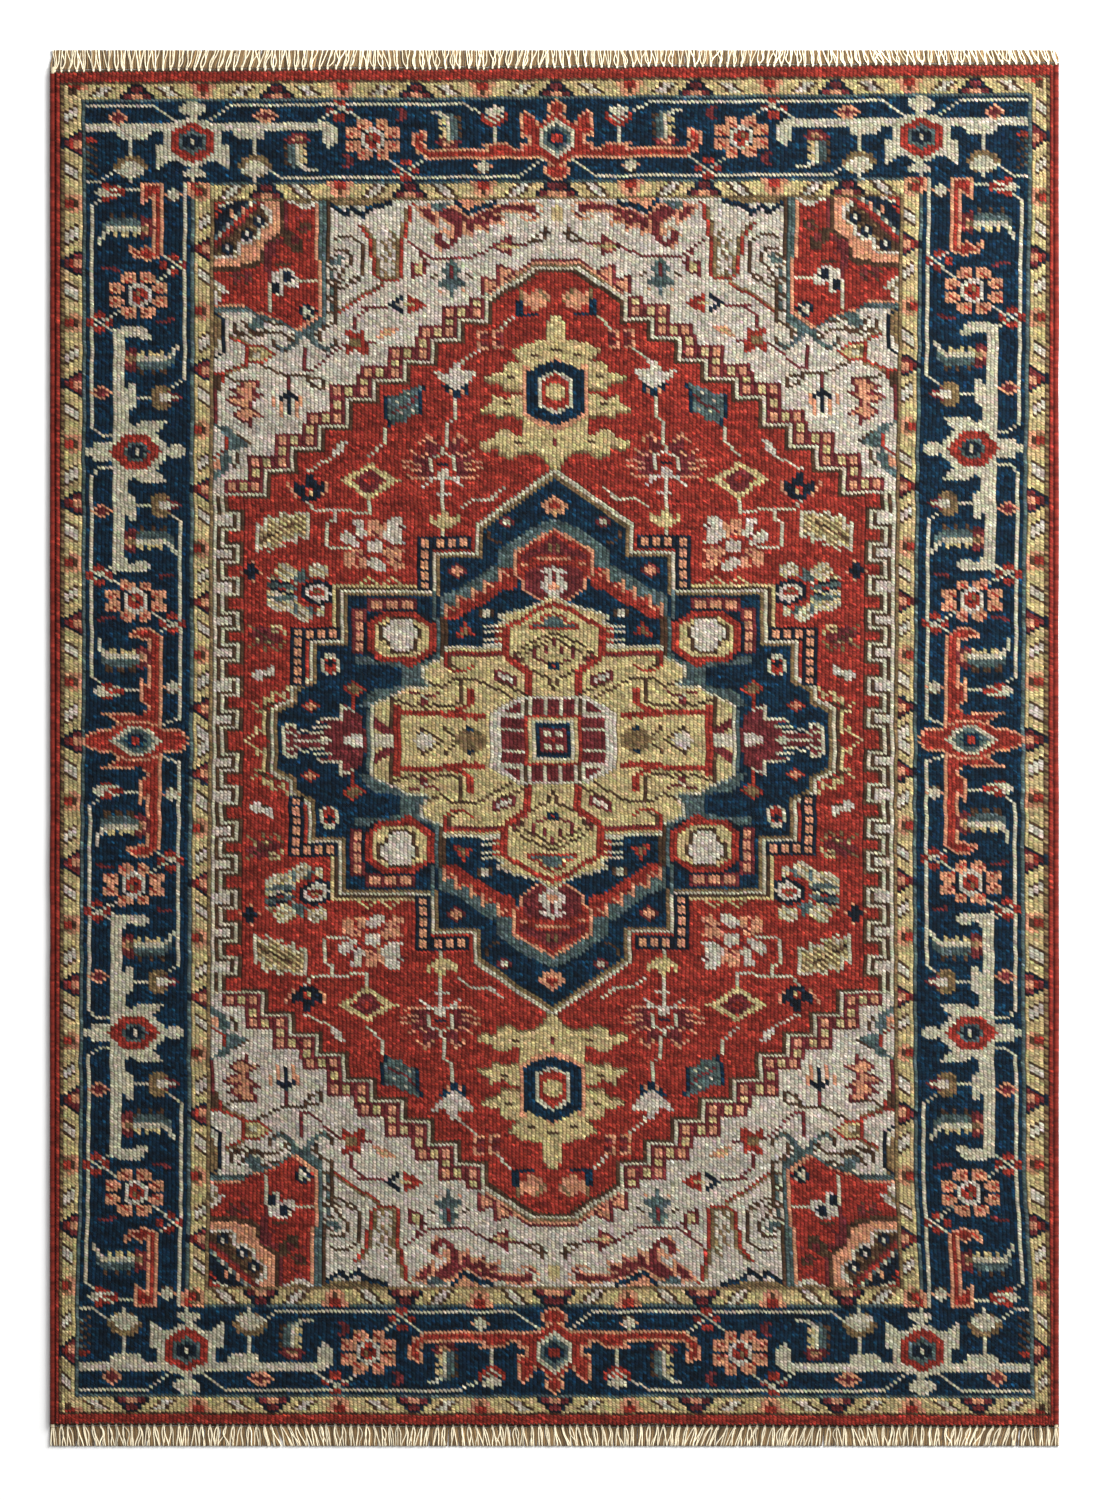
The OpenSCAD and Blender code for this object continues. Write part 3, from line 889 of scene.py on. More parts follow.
def double_flower():
    """Double flower of white and salmon petals round a white heart."""
    line(CREAM, (57, 85), (57, 82), (59, 81), (59, 73), (57, 71.6), (53, 72))
    for colour, petal in (
            (IVORY, [(54.8, 79), (55.6, 74.6), (53, 73), (50.4, 73), (52, 76)]),
            (IVORY, [(52.4, 82.4), (50, 82), (48.8, 78), (49.4, 74), (51, 76)]),
            (SALMON, [(49, 82), (46, 82.4), (45, 80), (46, 76), (48, 76.4)]),
            (SALMON, [(44, 82), (43, 77), (45, 75), (46, 78)]),
            (IVORY, [(42.8, 83.4), (39.6, 83), (38.8, 79), (40, 76), (39, 74), (42, 73), (44.4, 76.4)]),
            (SALMON, [(55, 70), (51, 72), (49, 70.8), (51, 69), (52.4, 64), (55, 66)]),
            (SALMON, [(50, 69), (49, 68), (49, 64), (51.4, 64.4)]),
            (IVORY, [(48, 69), (46, 69), (44, 66), (44, 64), (47, 64), (49, 66)]),
            (SALMON, [(45, 71.4), (42, 72.4), (38.6, 71.6), (40, 69), (38.4, 65), (41, 63.6),
                (43.4, 67)]),
            (IVORY, [(49, 71), (48, 74.6), (46, 75.4), (45, 74), (45, 71)])):
        fill(colour, *petal)
    for u, v in ((50, 75), (49, 69), (43, 73), (44, 69), (51, 70), (40, 80), (52, 77), (41, 68), (47, 78)):
        knot(MAROON, (u, v), (u - 1, v - 1))
    for u in (42, 48):
        line(GOLD, (u + 2, 59), (u, 61), (u - 2, 59))


def large_flower():
    """Navy bud, and the large flower of teal, cream and red."""
    box(BLACK, 77, 80, 63, 64)
    box(BLACK, 78, 79, 61, 66)
    for u, v in ((81, 63), (76, 63), (78, 67), (78, 60)):
        knot(SALMON, (u, v))
    for colour, petal in (
            (CREAM, [(66, 60), (67, 64), (69, 67), (71.4, 66), (73, 63), (70, 60.6)]),
            (CREAM, [(64, 62), (64, 65), (62, 67), (59, 65), (59, 62), (60, 60), (61, 62)]),
            (CREAM, [(71, 62), (66.6, 58.8), (71, 60), (75, 61)]),
            (CREAM, [(75, 57), (70, 57), (67, 55.6), (70, 55), (75, 55)]),
            (CREAM, [(75, 52), (73, 49), (70, 48), (67, 50), (67, 53), (75, 54)]),
            (CREAM, [(68.4, 48.6), (66, 51.6), (62, 46.6), (64, 44), (66.6, 45.4)]),
            (CREAM, [(62, 49), (60, 51), (60, 47), (61, 46)]),
            (TEAL, [(67, 62), (65, 65), (64, 61), (65, 60), (68, 59)]),
            (TEAL, [(75, 59), (71, 59.6), (67, 57.8), (67, 56), (70, 57), (74, 57.4)]),
            (TEAL, [(75, 55), (67, 55), (66, 53.4), (70, 52), (73.6, 53.2)]),
            (TEAL, [(68, 52), (66, 50.4), (67, 47)]),
            (TEAL, [(64.4, 50), (63, 51), (61.8, 48), (63, 47)]),
            (BLACK, [(65, 59), (62, 60.4), (58.6, 59.6), (57, 56), (57, 52.6), (60, 50.4), (63, 51.6),
                (66, 54)]),
            (IVORY, [(64, 58), (60, 59), (57.8, 55), (59, 53), (61, 51.8), (65, 55)]),
            (RED, [(63, 57), (61, 58), (60, 56), (60, 55), (64, 55)])):
        fill(colour, *petal)
    mottle(GOLD, CREAM, 58, 76, 43, 67, beat=3)
    for u, v in ((70, 63), (61, 64), (70, 51), (65, 47), (72, 61)):
        knot(OLIVE, (u, v), (u + 1, v + 1))
    line(BLACK, (73, 57), (68, 55))
    line(BLACK, (73, 60), (69, 58.6))
    box(OLIVE, 61, 62, 56, 56)


def flowers_by_medallion():
    """Maroon flower, white butterfly and the gold zigzag beside the medallion."""
    fill(MAROON, (76, 43.4), (74, 42), (71, 43), (72, 40), (70, 38.6), (73, 35), (75, 36.4), (78, 35.6),
         (77, 38), (80, 40))
    for du, dv in ((4, 4), (4, -4), (-3, 4), (-3, -5), (0, -5)):
        line(OLIVE, (75 + du, 39 + dv), (75 + 0.6 * du, 39 + 0.5 * dv))
    line(GOLD, (73, 43), (71, 43), (70, 40))
    line(OLIVE, (70, 37), (71, 35))
    line(BROWN, (77, 41), (73, 37))
    knot(GOLD, (74, 37), (73, 41), (72, 41), (77, 38))
    fill(IVORY, (78.4, 24), (77.4, 27), (75, 26), (73, 29), (73, 25), (77.4, 22))
    knot(BROWN, (75, 24), (74, 24))
    line(GOLD, (69, 20), (70, 16), (73, 18.4), (72.6, 15), (75.4, 16), (75.4, 13), (77.6, 13.6),
         (77, 11.4), (75, 11), (75, 3), (77, 5), (77, 3), (80, 0))
    line(BROWN, (72, 14), (76, 12), (74, 11), (74, 1))
    line(CREAM, (24, 87), (21, 90), (16, 89.6), (15, 92.4), (13, 94))


def medallion_frame():
    """The stepped edge of the medallion and its chains of squares."""
    line(GOLD, (35, 58), (57, 58), (57, 42))
    line(BROWN, (35, 57), (56, 57), (56, 42))
    nested(MEDALLION_EDGE, (CREAM, 0.5), (OLIVE, -0.5), (NAVY, -1.5))
    for u in (24, 27, 30):
        bead(SALMON, BLACK, u, 74)
    for v in (59, 62, 66, 70, 74):
        bead(SALMON, BLACK, 34, v)
    for u in (58, 61, 64, 67):
        bead(SALMON, BLACK, u, 40)
    for v in (23, 26, 30, 33, 37):
        bead(SALMON, BLACK, 67, v)
    for u in (38, 42, 46):
        box(MAROON, u - 2, u + 2, 49, 53)
        box(SALMON, u - 1, u + 1, 50, 52)
    for v in (35, 39, 43, 47):
        box(MAROON, 49, 52, v - 2, v + 2)
        box(SALMON, 50, 51, v - 1, v + 1)


def clouds_and_flames():
    """Cloud round the gold heart, and flames above it."""
    fill(TEAL, (32, 48), (29, 46), (28, 31), (32, 20), (44, 14), (51, 12), (47, 19), (40, 20.4), (40, 27),
         (46, 29), (52, 29), (52, 32), (31, 30))
    fill(BROWN, (30, 50), (28, 50), (28, 30), (30, 29))
    line(TEAL, (31, 56), (31, 30))
    fill(TEAL, (30, 54), (25, 57), (15, 66), (15, 71), (8, 78), (0, 83), (-1, 80), (14, 58), (29, 46))
    fill(RED, (10, 65), (14, 64), (14, 60), (18, 60), (18, 56), (21, 57), (21, 53), (25, 54), (25, 51),
         (27, 51), (28.4, 46), (27, 44), (24, 46.4), (14, 55.6), (10, 57.4))
    for u, v in ((14, 64), (18, 60), (21.2, 57.2), (25, 54.4), (28, 51)):
        line(SALMON, (u, v), (u, v - 4))
        line(SALMON, (u, v), (u - 1.6, v - 1.6))
    for rim, heart, u, v, du, dv in (
            (MAROON, SALMON, 25, 63.4, 3, 3), (RED, SALMON, 63, 13, 2.6, 3),
            (RED, OLIVE, 52, 19.4, 3.4, 3.4)):
        rhombus(rim, u, v, du, dv)
        rhombus(heart, u, v, du - 1, dv - 1)
    line(RED, (52, 16), (52, 11))
    for colour, du, dv, v in ((CREAM, 2.7, 3.7, 28.4), (RED, 1.7, 3, 28), (BLACK, 1.2, 1.4, 29)):
        fill(colour, *both_u(58, [(58 + 0.4 * du, v + dv), (58 + du, v + 0.4 * dv),
             (58 + du, v - 0.4 * dv), (58 + 0.4 * du, v - dv)]))
    fill(MAROON, (13, 84), (15, 82), (13, 79), (10, 81.5))
    box(CREAM, 12, 13, 81, 82)
    line(BROWN, (17, 78), (17, 76), (14, 73.6))
    fill(SALMON, (-1, 92), (3.6, 88), (2.6, 85), (-1, 83))
    fill(RED, (-1, 90), (2, 87.4), (-1, 86))


def ring_flower():
    """Round flower in its red ring."""
    ring = [(36, 48.4), (44, 48.4), (48.6, 44), (48.6, 34), (45.4, 30), (35, 30), (31, 34), (31, 44)]
    fill(BLACK, *grown(ring, (40, 39), 1.1, 1.1))
    fill(RED, *ring)
    fill(GOLD, *grown(ring, (40, 39), 0.78, 0.82))
    blob = [(37, 45.4), (42, 45.4), (42.4, 44), (44.4, 42.4), (44.4, 38.4), (42.6, 37), (42, 34),
        (38, 34), (36.4, 35), (36.6, 38), (35.2, 39), (35.2, 42), (37, 43)]
    fill(BROWN, *grown(blob, (39.8, 39.8), 1.2, 1.18))
    fill(IVORY, *blob)
    fill(RED, (39.6, 30), (36, 29), (37.6, 26.4))


def octagon_flower():
    """Octagon between the flames: salmon outline, maroon ground, a white flower."""
    fill(SALMON, (-1, 80.4), (10.4, 71), (11, 62), (9, 60), (9, 57), (4, 52))
    fill(RED, (-1, 79), (9.4, 70.4), (10, 62), (8, 60), (4, 53), (-1, 51))
    fill(MAROON, (-1, 77.4), (8.2, 69), (8, 67), (4, 69.4), (-1, 69))
    fill(SALMON, (-1, 69), (4, 68.6), (8.6, 64.6), (9, 66), (5, 67.2), (-1, 67))
    fill(MAROON, (-1, 66), (3.6, 66), (8, 62.6), (8, 57), (4, 53.6), (-1, 53))
    fill(OLIVE, (2, 71), (1, 74), (1, 70))
    fill(IVORY, (-1, 66), (4, 63), (1.4, 63), (4, 58), (1, 54), (-1, 55))
    fill(MAROON, (-1, 64), (1, 63), (1, 60), (-1, 60))
    fill(SALMON, (-1, 60), (2, 58), (2, 57), (-1, 56))
    box(BROWN, 16, 19, 47, 49)
    box(CREAM, 17, 18, 47, 49)


def crab_palmette():
    """Crab-shaped palmette at the side point."""
    fill(MAROON, (54, 14), (50, 9), (48, 0), (70, -1), (69, 6), (65, 2), (60, 4), (58, 5.6), (61, 7),
         (55, 8))
    fill(CREAM, (71, 0), (71, 5), (69, 7), (66, 5.6), (67, 4), (68, 6), (70, 4), (69, 0))
    line(CREAM, (69, 3), (67, 2), (65, 4), (62, 3), (60, 3))
    line(CREAM, (62, 5), (58, 5))
    line(CREAM, (61, 7.4), (55, 8), (55, 13), (52, 11))
    line(CREAM, (67, 0), (58, 0), (60, 1))
    fill(IVORY, (55, 0.6), (50, 3), (50, -1), (54, -1))
    fill(TEAL, (48, 12), (48, 0), (49, 0))


HEART = [(-1, 55), (5, 50.6), (14, 47), (13, 43.6), (19, 43), (19, 37), (14, 36), (14, 35), (28, 35),
    (28.4, 31), (31, 30), (33.6, 27.6), (34.2, 25), (32, 20.6), (38, 19.8), (42, 16.6), (46.4, 14),
    (47, 10), (47, -1), (-1, -1)]
PANEL = [(-1, 17), (8.6, 17), (14.6, 11.6), (17, 10), (16, -1), (-1, -1)]


def gold_heart():
    """Gold heart of the medallion."""
    fill(GOLD, *HEART)
    line(CREAM, *HEART[:-1])
    fill(NAVY, (28, 46), (15, 43), (15, 36), (28, 36))
    for v in (43, 41, 38, 36):
        line(CREAM, (18, v), (15, v))
    for v in (42, 40, 39, 37):
        line(RED, (15, v), (13, v))
    fill(RED, (23, 45), (21, 40), (26, 38))
    fill(OLIVE, (23, 43), (23, 40), (24.6, 39))
    for d in (0, 1):
        line(RED, (0, 52 - d), (5, 49 - d), (10, 44.6 - d), (13 - d, 42), (13 - d, 32), (6.6, 26 - d),
             (6 + d, 17))
        line(RED, (40 + d, 13), (40 + d, 0))
        line(RED, (40, 11 - d), (18, 10 - d))
        line(RED, (21 + d, 19), (21 + d, 14), (24, 12 - d), (28, 10))
    line(MAROON, (28, 32), (14, 32))
    line(RED, (28, 33), (14, 33))
    line(BROWN, (27, 31), (27, 28), (25, 27))
    line(RED, (28, 32), (28, 28), (26, 26), (23, 26), (21, 28))
    line(BROWN, (24, 22), (24, 15))
    line(BROWN, (32, 22), (29, 20), (27, 22), (25, 23), (20, 23), (11, 16.4))
    line(BROWN, (42, 15), (42, 4))
    line(BROWN, (42, 16), (36, 12.6), (35, 14), (33, 12), (31, 14), (29, 12.6), (24, 14))
    line(RED, (23, 10), (23, 8))
    line(RED, (20, 9), (20, 8))
    line(MAROON, (37, 18), (33, 17), (30, 17.6))
    box(MAROON, 33, 34, 14, 16)
    knot(CREAM, (33, 16), (34, 17))
    framed(IVORY, MAROON, (15, 26), (10, 24), (10, 21), (15, 23))
    line(BROWN, (14, 22), (11, 20), (7, 17))
    fill(BROWN, (11, 34), (9, 34), (6, 26), (11, 31))
    line(MAROON, (10, 32), (7, 28))
    knot(GOLD, (9, 32), (10, 30), (8, 29))
    stroke(RED, (11, 30), (6, 25))
    line(TEAL, (5, 43), (0, 43))
    fill(TEAL, (-1, 47), (2, 46), (3, 43), (-1, 43))
    line(RED, (6, 42), (0, 42))
    line(RED, (6, 43), (3, 45), (2, 47), (0, 47.6))
    line(BROWN, (8, 35), (3, 39), (0, 40))
    line(BROWN, (7, 33), (2, 37), (0, 38))
    line(MAROON, (5, 34), (5, 31), (2, 29))
    box(MAROON, 2, 2, 33, 35)
    box(MAROON, 0, 0, 36, 38)
    box(NAVY, 0, 1, 27, 29)
    box(RED, 0, 0, 28, 28)
    line(BROWN, (5, 26), (3, 24), (1, 23), (0, 19))
    fill(CREAM, (46, 3), (42, 3), (42, 0), (47, 0))
    fill(MAROON, (46, 8.4), (42, 4), (42, 2), (44, 2.6), (46.4, 5))
    line(BROWN, (35, 2), (34, 5), (29, 0))
    fill(IVORY, (34, 3.6), (32, 2), (31, 0), (37, 0), (35.4, 1.6))
    line(BROWN, (28, 5), (27, 3), (25, 1))
    fill(OLIVE, (26.4, 0), (21.6, 6.2), (18, 2), (17, -1))
    fill(NAVY, (23, 4), (22, 6), (20, 3.6))


def centre_panel():
    """Barred panel in the middle of the heart."""
    fill(IVORY, *PANEL)
    fill(MAROON, (-1, 15), (8, 16), (13, 10), (-1, 9))
    for u in (8, 6, 2):
        box(CREAM, u, u, 10, 16)
    box(BROWN, 7, 7, 10, 15)
    line(CREAM, (13, 10), (7, 9.4))
    fill(MAROON, (13, 9), (7, 9), (7, -1), (14, -1))
    line(CREAM, (14, 4), (8, 4))
    box(RED, 0, 7, 0, 9)
    box(GOLD, 0, 6, 0, 8)
    box(CREAM, 0, 5, 0, 7)
    box(NAVY, 0, 4, 0, 6)
    box(MAROON, 0, 3, 0, 4)
    box(CREAM, 1, 2, 2, 3)
    box(RED, 0, 0, 0, 0)


DRAWN_IN_ORDER = (
    base, guards, end_crossings, end_vines, cream_bar_in_end, red_bar_in_end, side_vines, red_bars_at_side,
    cream_bar_at_side, star_at_side, leaf_panel, cloud_edge, brown_scrolls, maroon_scroll, ground_vines,
    ground_flowers, tip_curls, corner_piece, quarter_flower, corner_flowers, red_field, side_key, crocus,
    teal_leaf, carnation, small_flowers, gold_flower_and_iris, olive_leaf, double_flower, large_flower,
    flowers_by_medallion, pendant, medallion_frame, clouds_and_flames, ring_flower, octagon_flower,
    crab_palmette, gold_heart, centre_panel)
for draw in DRAWN_IN_ORDER:
    draw()

# ---------------------------------------------------------------- areas of the design
def inside(*outline):
    """Which knots of the quarter lie inside an outline."""
    kept = quarter.copy()
    quarter[:] = 0
    fill(1, *outline)
    found = quarter == 1
    quarter[:] = kept
    return found


u_of, v_of = np.meshgrid(np.arange(HALF_COLS + 1), np.arange(HALF_ROWS + 1))
RINGS = (("edge_pile", 128.5, 249.5), ("outer_guard", 127.5, 245.5), ("main_border", 122.5, 238.5),
         ("inner_guard", 93.5, 206.5), ("field", 88.5, 200.5))
area = np.full(quarter.shape, "end_ground", dtype=object)
in_corner = inside((88.6, 201), (60, 201), (60, 158), (65.4, 153), (70, 157), (77, 161), (88.6, 161))
area[in_corner] = "corner_piece"
in_side_band = (u_of > 80.5) & (v_of < 92.5)
area[in_side_band] = "side_band"
area[inside(*closed(FIELD_EDGE, 0.5)) & ~in_side_band] = "red_field"
area[inside(*PENDANT)] = "pendant"
area[inside(*closed(MEDALLION_EDGE, 0.5))] = "medallion"
area[inside(*HEART)] = "medallion_heart"
area[inside(*PANEL)] = "centre_panel"
for (ring, half_u, half_v), (_, in_u, in_v) in zip(RINGS, RINGS[1:]):
    in_ring = ((u_of > in_u) | (v_of > in_v)) & (u_of < half_u) & (v_of < half_v)
    by_end = (v_of - in_v) / (half_v - in_v) > (u_of - in_u) / (half_u - in_u)
    area[in_ring & by_end] = ring + ":end"
    area[in_ring & ~by_end] = ring + ":side"

columns = np.arange(-HALF_COLS, HALF_COLS + 1)
rows = np.arange(-HALF_ROWS, HALF_ROWS + 1)
dye = quarter[np.abs(rows)[:, None], np.abs(columns)[None, :]]
area = area[np.abs(rows)[:, None], np.abs(columns)[None, :]]
is_north = np.repeat(rows[:, None] > 0, len(columns), axis=1)
is_east = np.repeat(columns[None, :] > 0, len(rows), axis=0)

# ---------------------------------------------------------------- sizes, from the frame
half_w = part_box("edge_pile_east")[1][0]
half_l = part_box("edge_pile_north")[1][1]
base_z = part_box("foundation_weave")[1][2]
pile_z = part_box("medallion")[1][2]
knot_w = 2 * half_w / len(columns)
row_h = 2 * half_l / len(rows)


def srgb_to_linear(colour):
    """A colour, or a list of them, as the renderer's numbers."""
    c = np.asarray(colour, float)
    return np.where(c <= 0.04045, c / 12.92, ((c + 0.055) / 1.055) ** 2.4)


dye_table = srgb_to_linear(list(DYES.values()))


def smooth_noise(count, step):
    """A wandering value of unit size that changes over about step places."""
    knots = rng.normal(size=count // step + 4)
    places = np.arange(count) / step
    low = places.astype(int)
    t = places - low
    t = t * t * (3 - 2 * t)
    return knots[low] * (1 - t) + knots[low + 1] * t


# ---------------------------------------------------------------- grid of the pile
# Hand-woven drift, at stations that are row numbers along the rug: how many rows the design lies
# north of its ideal place, how many more it climbs at the east side and drops at the west side, how
# many knots it lies east, and how many knots it spreads at each side.
DRIFT_NORTH = ((-249.5, 1.2), (-240, -0.2), (-200, 2.6), (-163, 2.5), (-127, 4.6), (-90, 1.9),
               (-17, 2.9), (55, 1.2), (237, 0.3), (249.5, -0.7))
CLIMB_EAST = ((-249.5, -0.3), (-163, 0), (-90, 0), (-40, 0.7), (30, 0), (127, 0.9), (249.5, 1.4))
DRIFT_EAST = ((-249.5, 0.2), (-163, -0.4), (-50, -0.6), (90, 0), (200, 0.6), (249.5, 0.6))
SPREAD = ((-249.5, 1.3), (-200, 0.8), (-163, -0.5), (20, -1.1), (160, -0.5), (249.5, 0))
# The outermost knots at the sides take up the drift, so the sides stay straight.
GIVING_KNOTS = 5
# Every row and column wanders a little as well.
WANDER = 0.0007
row_lines = np.linspace(-half_l, half_l, len(rows) + 1)
column_lines = np.linspace(-half_w, half_w, len(columns) + 1)
row_wander = WANDER * smooth_noise(len(row_lines), 5)
column_wander = WANDER * smooth_noise(len(column_lines), 5)


def woven(x, y):
    """Where a place of the ideal grid lies in the woven rug."""
    def drift(stations):
        """A drift between its stations."""
        return np.interp(y / row_h, *zip(*stations))
    give = np.clip((half_w - np.abs(x)) / (GIVING_KNOTS * knot_w), 0, 1)
    east = knot_w * (drift(DRIFT_EAST) + drift(SPREAD) * x / half_w) + np.interp(y, row_lines, row_wander)
    north = row_h * (drift(DRIFT_NORTH) + drift(CLIMB_EAST) * x / half_w)
    return x + give * east, y + north + np.interp(x, column_lines, column_wander)


# Fine grid of the pile. A knot has three places across, which its neighbours don't share, so each
# column leans: its west edge is higher up the rug than its east edge. It has two steps along.
PLACES_A_KNOT = 3
LEAN = 0.42
GAP_BETWEEN_COLUMNS, GAP_BETWEEN_ROWS = 0.0014, 0.0009
TIP_BELOW_TOP = 0.0003
JITTER_X, JITTER_Y, JITTER_Z = 0.0005, 0.0004, 0.00022
SLOW_ROLL = 0.0002
step_across = np.tile([0.0, 0.5, 1.0], len(columns))
column_of = np.repeat(np.arange(len(columns)), PLACES_A_KNOT)
fine_cols = len(column_of)
fine_x = -half_w + (column_of + step_across) * knot_w
fine_y = -half_l + np.arange(2 * len(rows) + 1) * row_h / 2
grid_x = fine_x[None, :] + np.zeros((len(fine_y), 1))
grid_y = fine_y[:, None] + (0.5 - step_across) * 2 * LEAN * row_h
place_x, place_y = woven(grid_x, grid_y)
mid_column, mid_row = np.meshgrid(step_across == 0.5, np.arange(len(fine_y)) % 2 == 1)
place_x += rng.normal(0, JITTER_X, place_x.shape) * mid_column
place_y += rng.normal(0, JITTER_Y, place_y.shape) * mid_column
place_z = pile_z - TIP_BELOW_TOP - GAP_BETWEEN_COLUMNS * ~mid_column - GAP_BETWEEN_ROWS * ~mid_row
place_z += rng.normal(0, JITTER_Z, place_z.shape)
place_z += SLOW_ROLL * smooth_noise(len(fine_y), 60)[:, None]
top = np.stack([place_x, place_y, place_z], axis=-1).reshape(-1, 3)
foot = top.copy()
foot[:, 2] = base_z
grid_points = np.concatenate([top, foot])

# Painted light and shade, multiplied into the pile's colours: how much light each fine place is painted
# with, most on a tip, less in the gaps, least where gaps cross, and little at the foot of a wall.
TIP_LIGHT, ROW_GAP_LIGHT, COLUMN_GAP_LIGHT, CROSSING_LIGHT, FOOT_LIGHT = 1.50, 0.80, 0.84, 0.42, 0.45
# How much it differs from one place to the next.
TIP_UNEVEN, GAP_UNEVEN = 0.20, 0.42
shade = np.where(mid_column, np.where(mid_row, TIP_LIGHT, ROW_GAP_LIGHT),
                 np.where(mid_row, COLUMN_GAP_LIGHT, CROSSING_LIGHT))
shade = shade * np.exp(rng.normal(0, 1, shade.shape) * np.where(mid_column, TIP_UNEVEN, GAP_UNEVEN))
shade = np.concatenate([shade.reshape(-1), np.full(len(foot), FOOT_LIGHT)])

# A yarn's colour on each knot, with its streakiness as the fourth number.
uneven = np.array(list(UNEVEN.values()))[dye]
knot_colour = np.ones(dye.shape + (4,))
knot_colour[..., :3] = dye_table[dye] * np.exp(rng.normal(0, 1, dye.shape) * uneven)[..., None]
knot_colour[..., :3] *= np.exp(rng.normal(0, HUE_UNEVEN, dye.shape + (3,)))
knot_colour[..., 3] = uneven


def new_piece(name, points, faces, face_colours=None, point_shade=None, smooth=True):
    """A mesh object. faces is a list of arrays, one row a face; yarn colour times painted shade goes on
    their corners.
    """
    sides = np.concatenate([np.full(len(f), f.shape[1]) for f in faces])
    corners = np.concatenate([f.ravel() for f in faces])
    mesh = bpy.data.meshes.new(name)
    mesh.vertices.add(len(points))
    mesh.vertices.foreach_set("co", np.asarray(points, np.float32).ravel())
    mesh.loops.add(len(corners))
    mesh.loops.foreach_set("vertex_index", corners.astype(np.int32))
    mesh.polygons.add(len(sides))
    mesh.polygons.foreach_set("loop_start", (np.cumsum(sides) - sides).astype(np.int32))
    mesh.update(calc_edges=True)
    mesh.polygons.foreach_set("use_smooth", np.full(len(sides), smooth))
    if face_colours is not None:
        colours = np.ones((len(corners), 4), np.float32)
        colours[:, :face_colours.shape[1]] = np.repeat(face_colours, sides, axis=0)
        # Painted light and shade: each point's shade multiplies the colour of its corners.
        if point_shade is not None:
            colours[:, :3] *= point_shade[corners][:, None]
        layer = mesh.color_attributes.new("yarn", "FLOAT_COLOR", "CORNER")
        layer.data.foreach_set("color", colours.ravel())
    piece = bpy.data.objects.new(name, mesh)
    bpy.context.scene.collection.objects.link(piece)
    return piece


def pile_piece(name, mask):
    """The knots of one area of the design: domed tips, and walls down to the foundation."""
    j, i = np.nonzero(mask)
    colours = knot_colour[j, i]
    faces, face_colours = [], []
    for a in (0, 1):
        for b in (0, 1):
            corner = (2 * j + a) * fine_cols + PLACES_A_KNOT * i + b
            faces.append(np.stack([corner, corner + 1, corner + fine_cols + 1, corner + fine_cols], axis=1))
            face_colours.append(colours)
    padded = np.pad(mask, 1)
    # A wall's neighbour, as rows and columns away, then where it starts and steps on the fine grid.
    walls = ((-1, 0, 0, 0, 0, 1), (1, 0, 2, 2, 0, -1), (0, -1, 2, 0, -1, 0), (0, 1, 0, 2, 1, 0))
    for dj, di, start_j, start_i, step_j, step_i in walls:
        open_side = ~padded[1 + j + dj, 1 + i + di]
        for k in (0, 1):
            one = (2 * j + start_j + k * step_j) * fine_cols + PLACES_A_KNOT * i + start_i + k * step_i
            other = one + step_j * fine_cols + step_i
            wall = np.stack([one, one + len(top), other + len(top), other], axis=1)[open_side]
            faces.append(wall)
            face_colours.append(colours[open_side])
    faces, face_colours = np.concatenate(faces), np.concatenate(face_colours)
    used, faces = np.unique(faces, return_inverse=True)
    return new_piece(name, grid_points[used], [faces.reshape(-1, 4)], face_colours, shade[used])


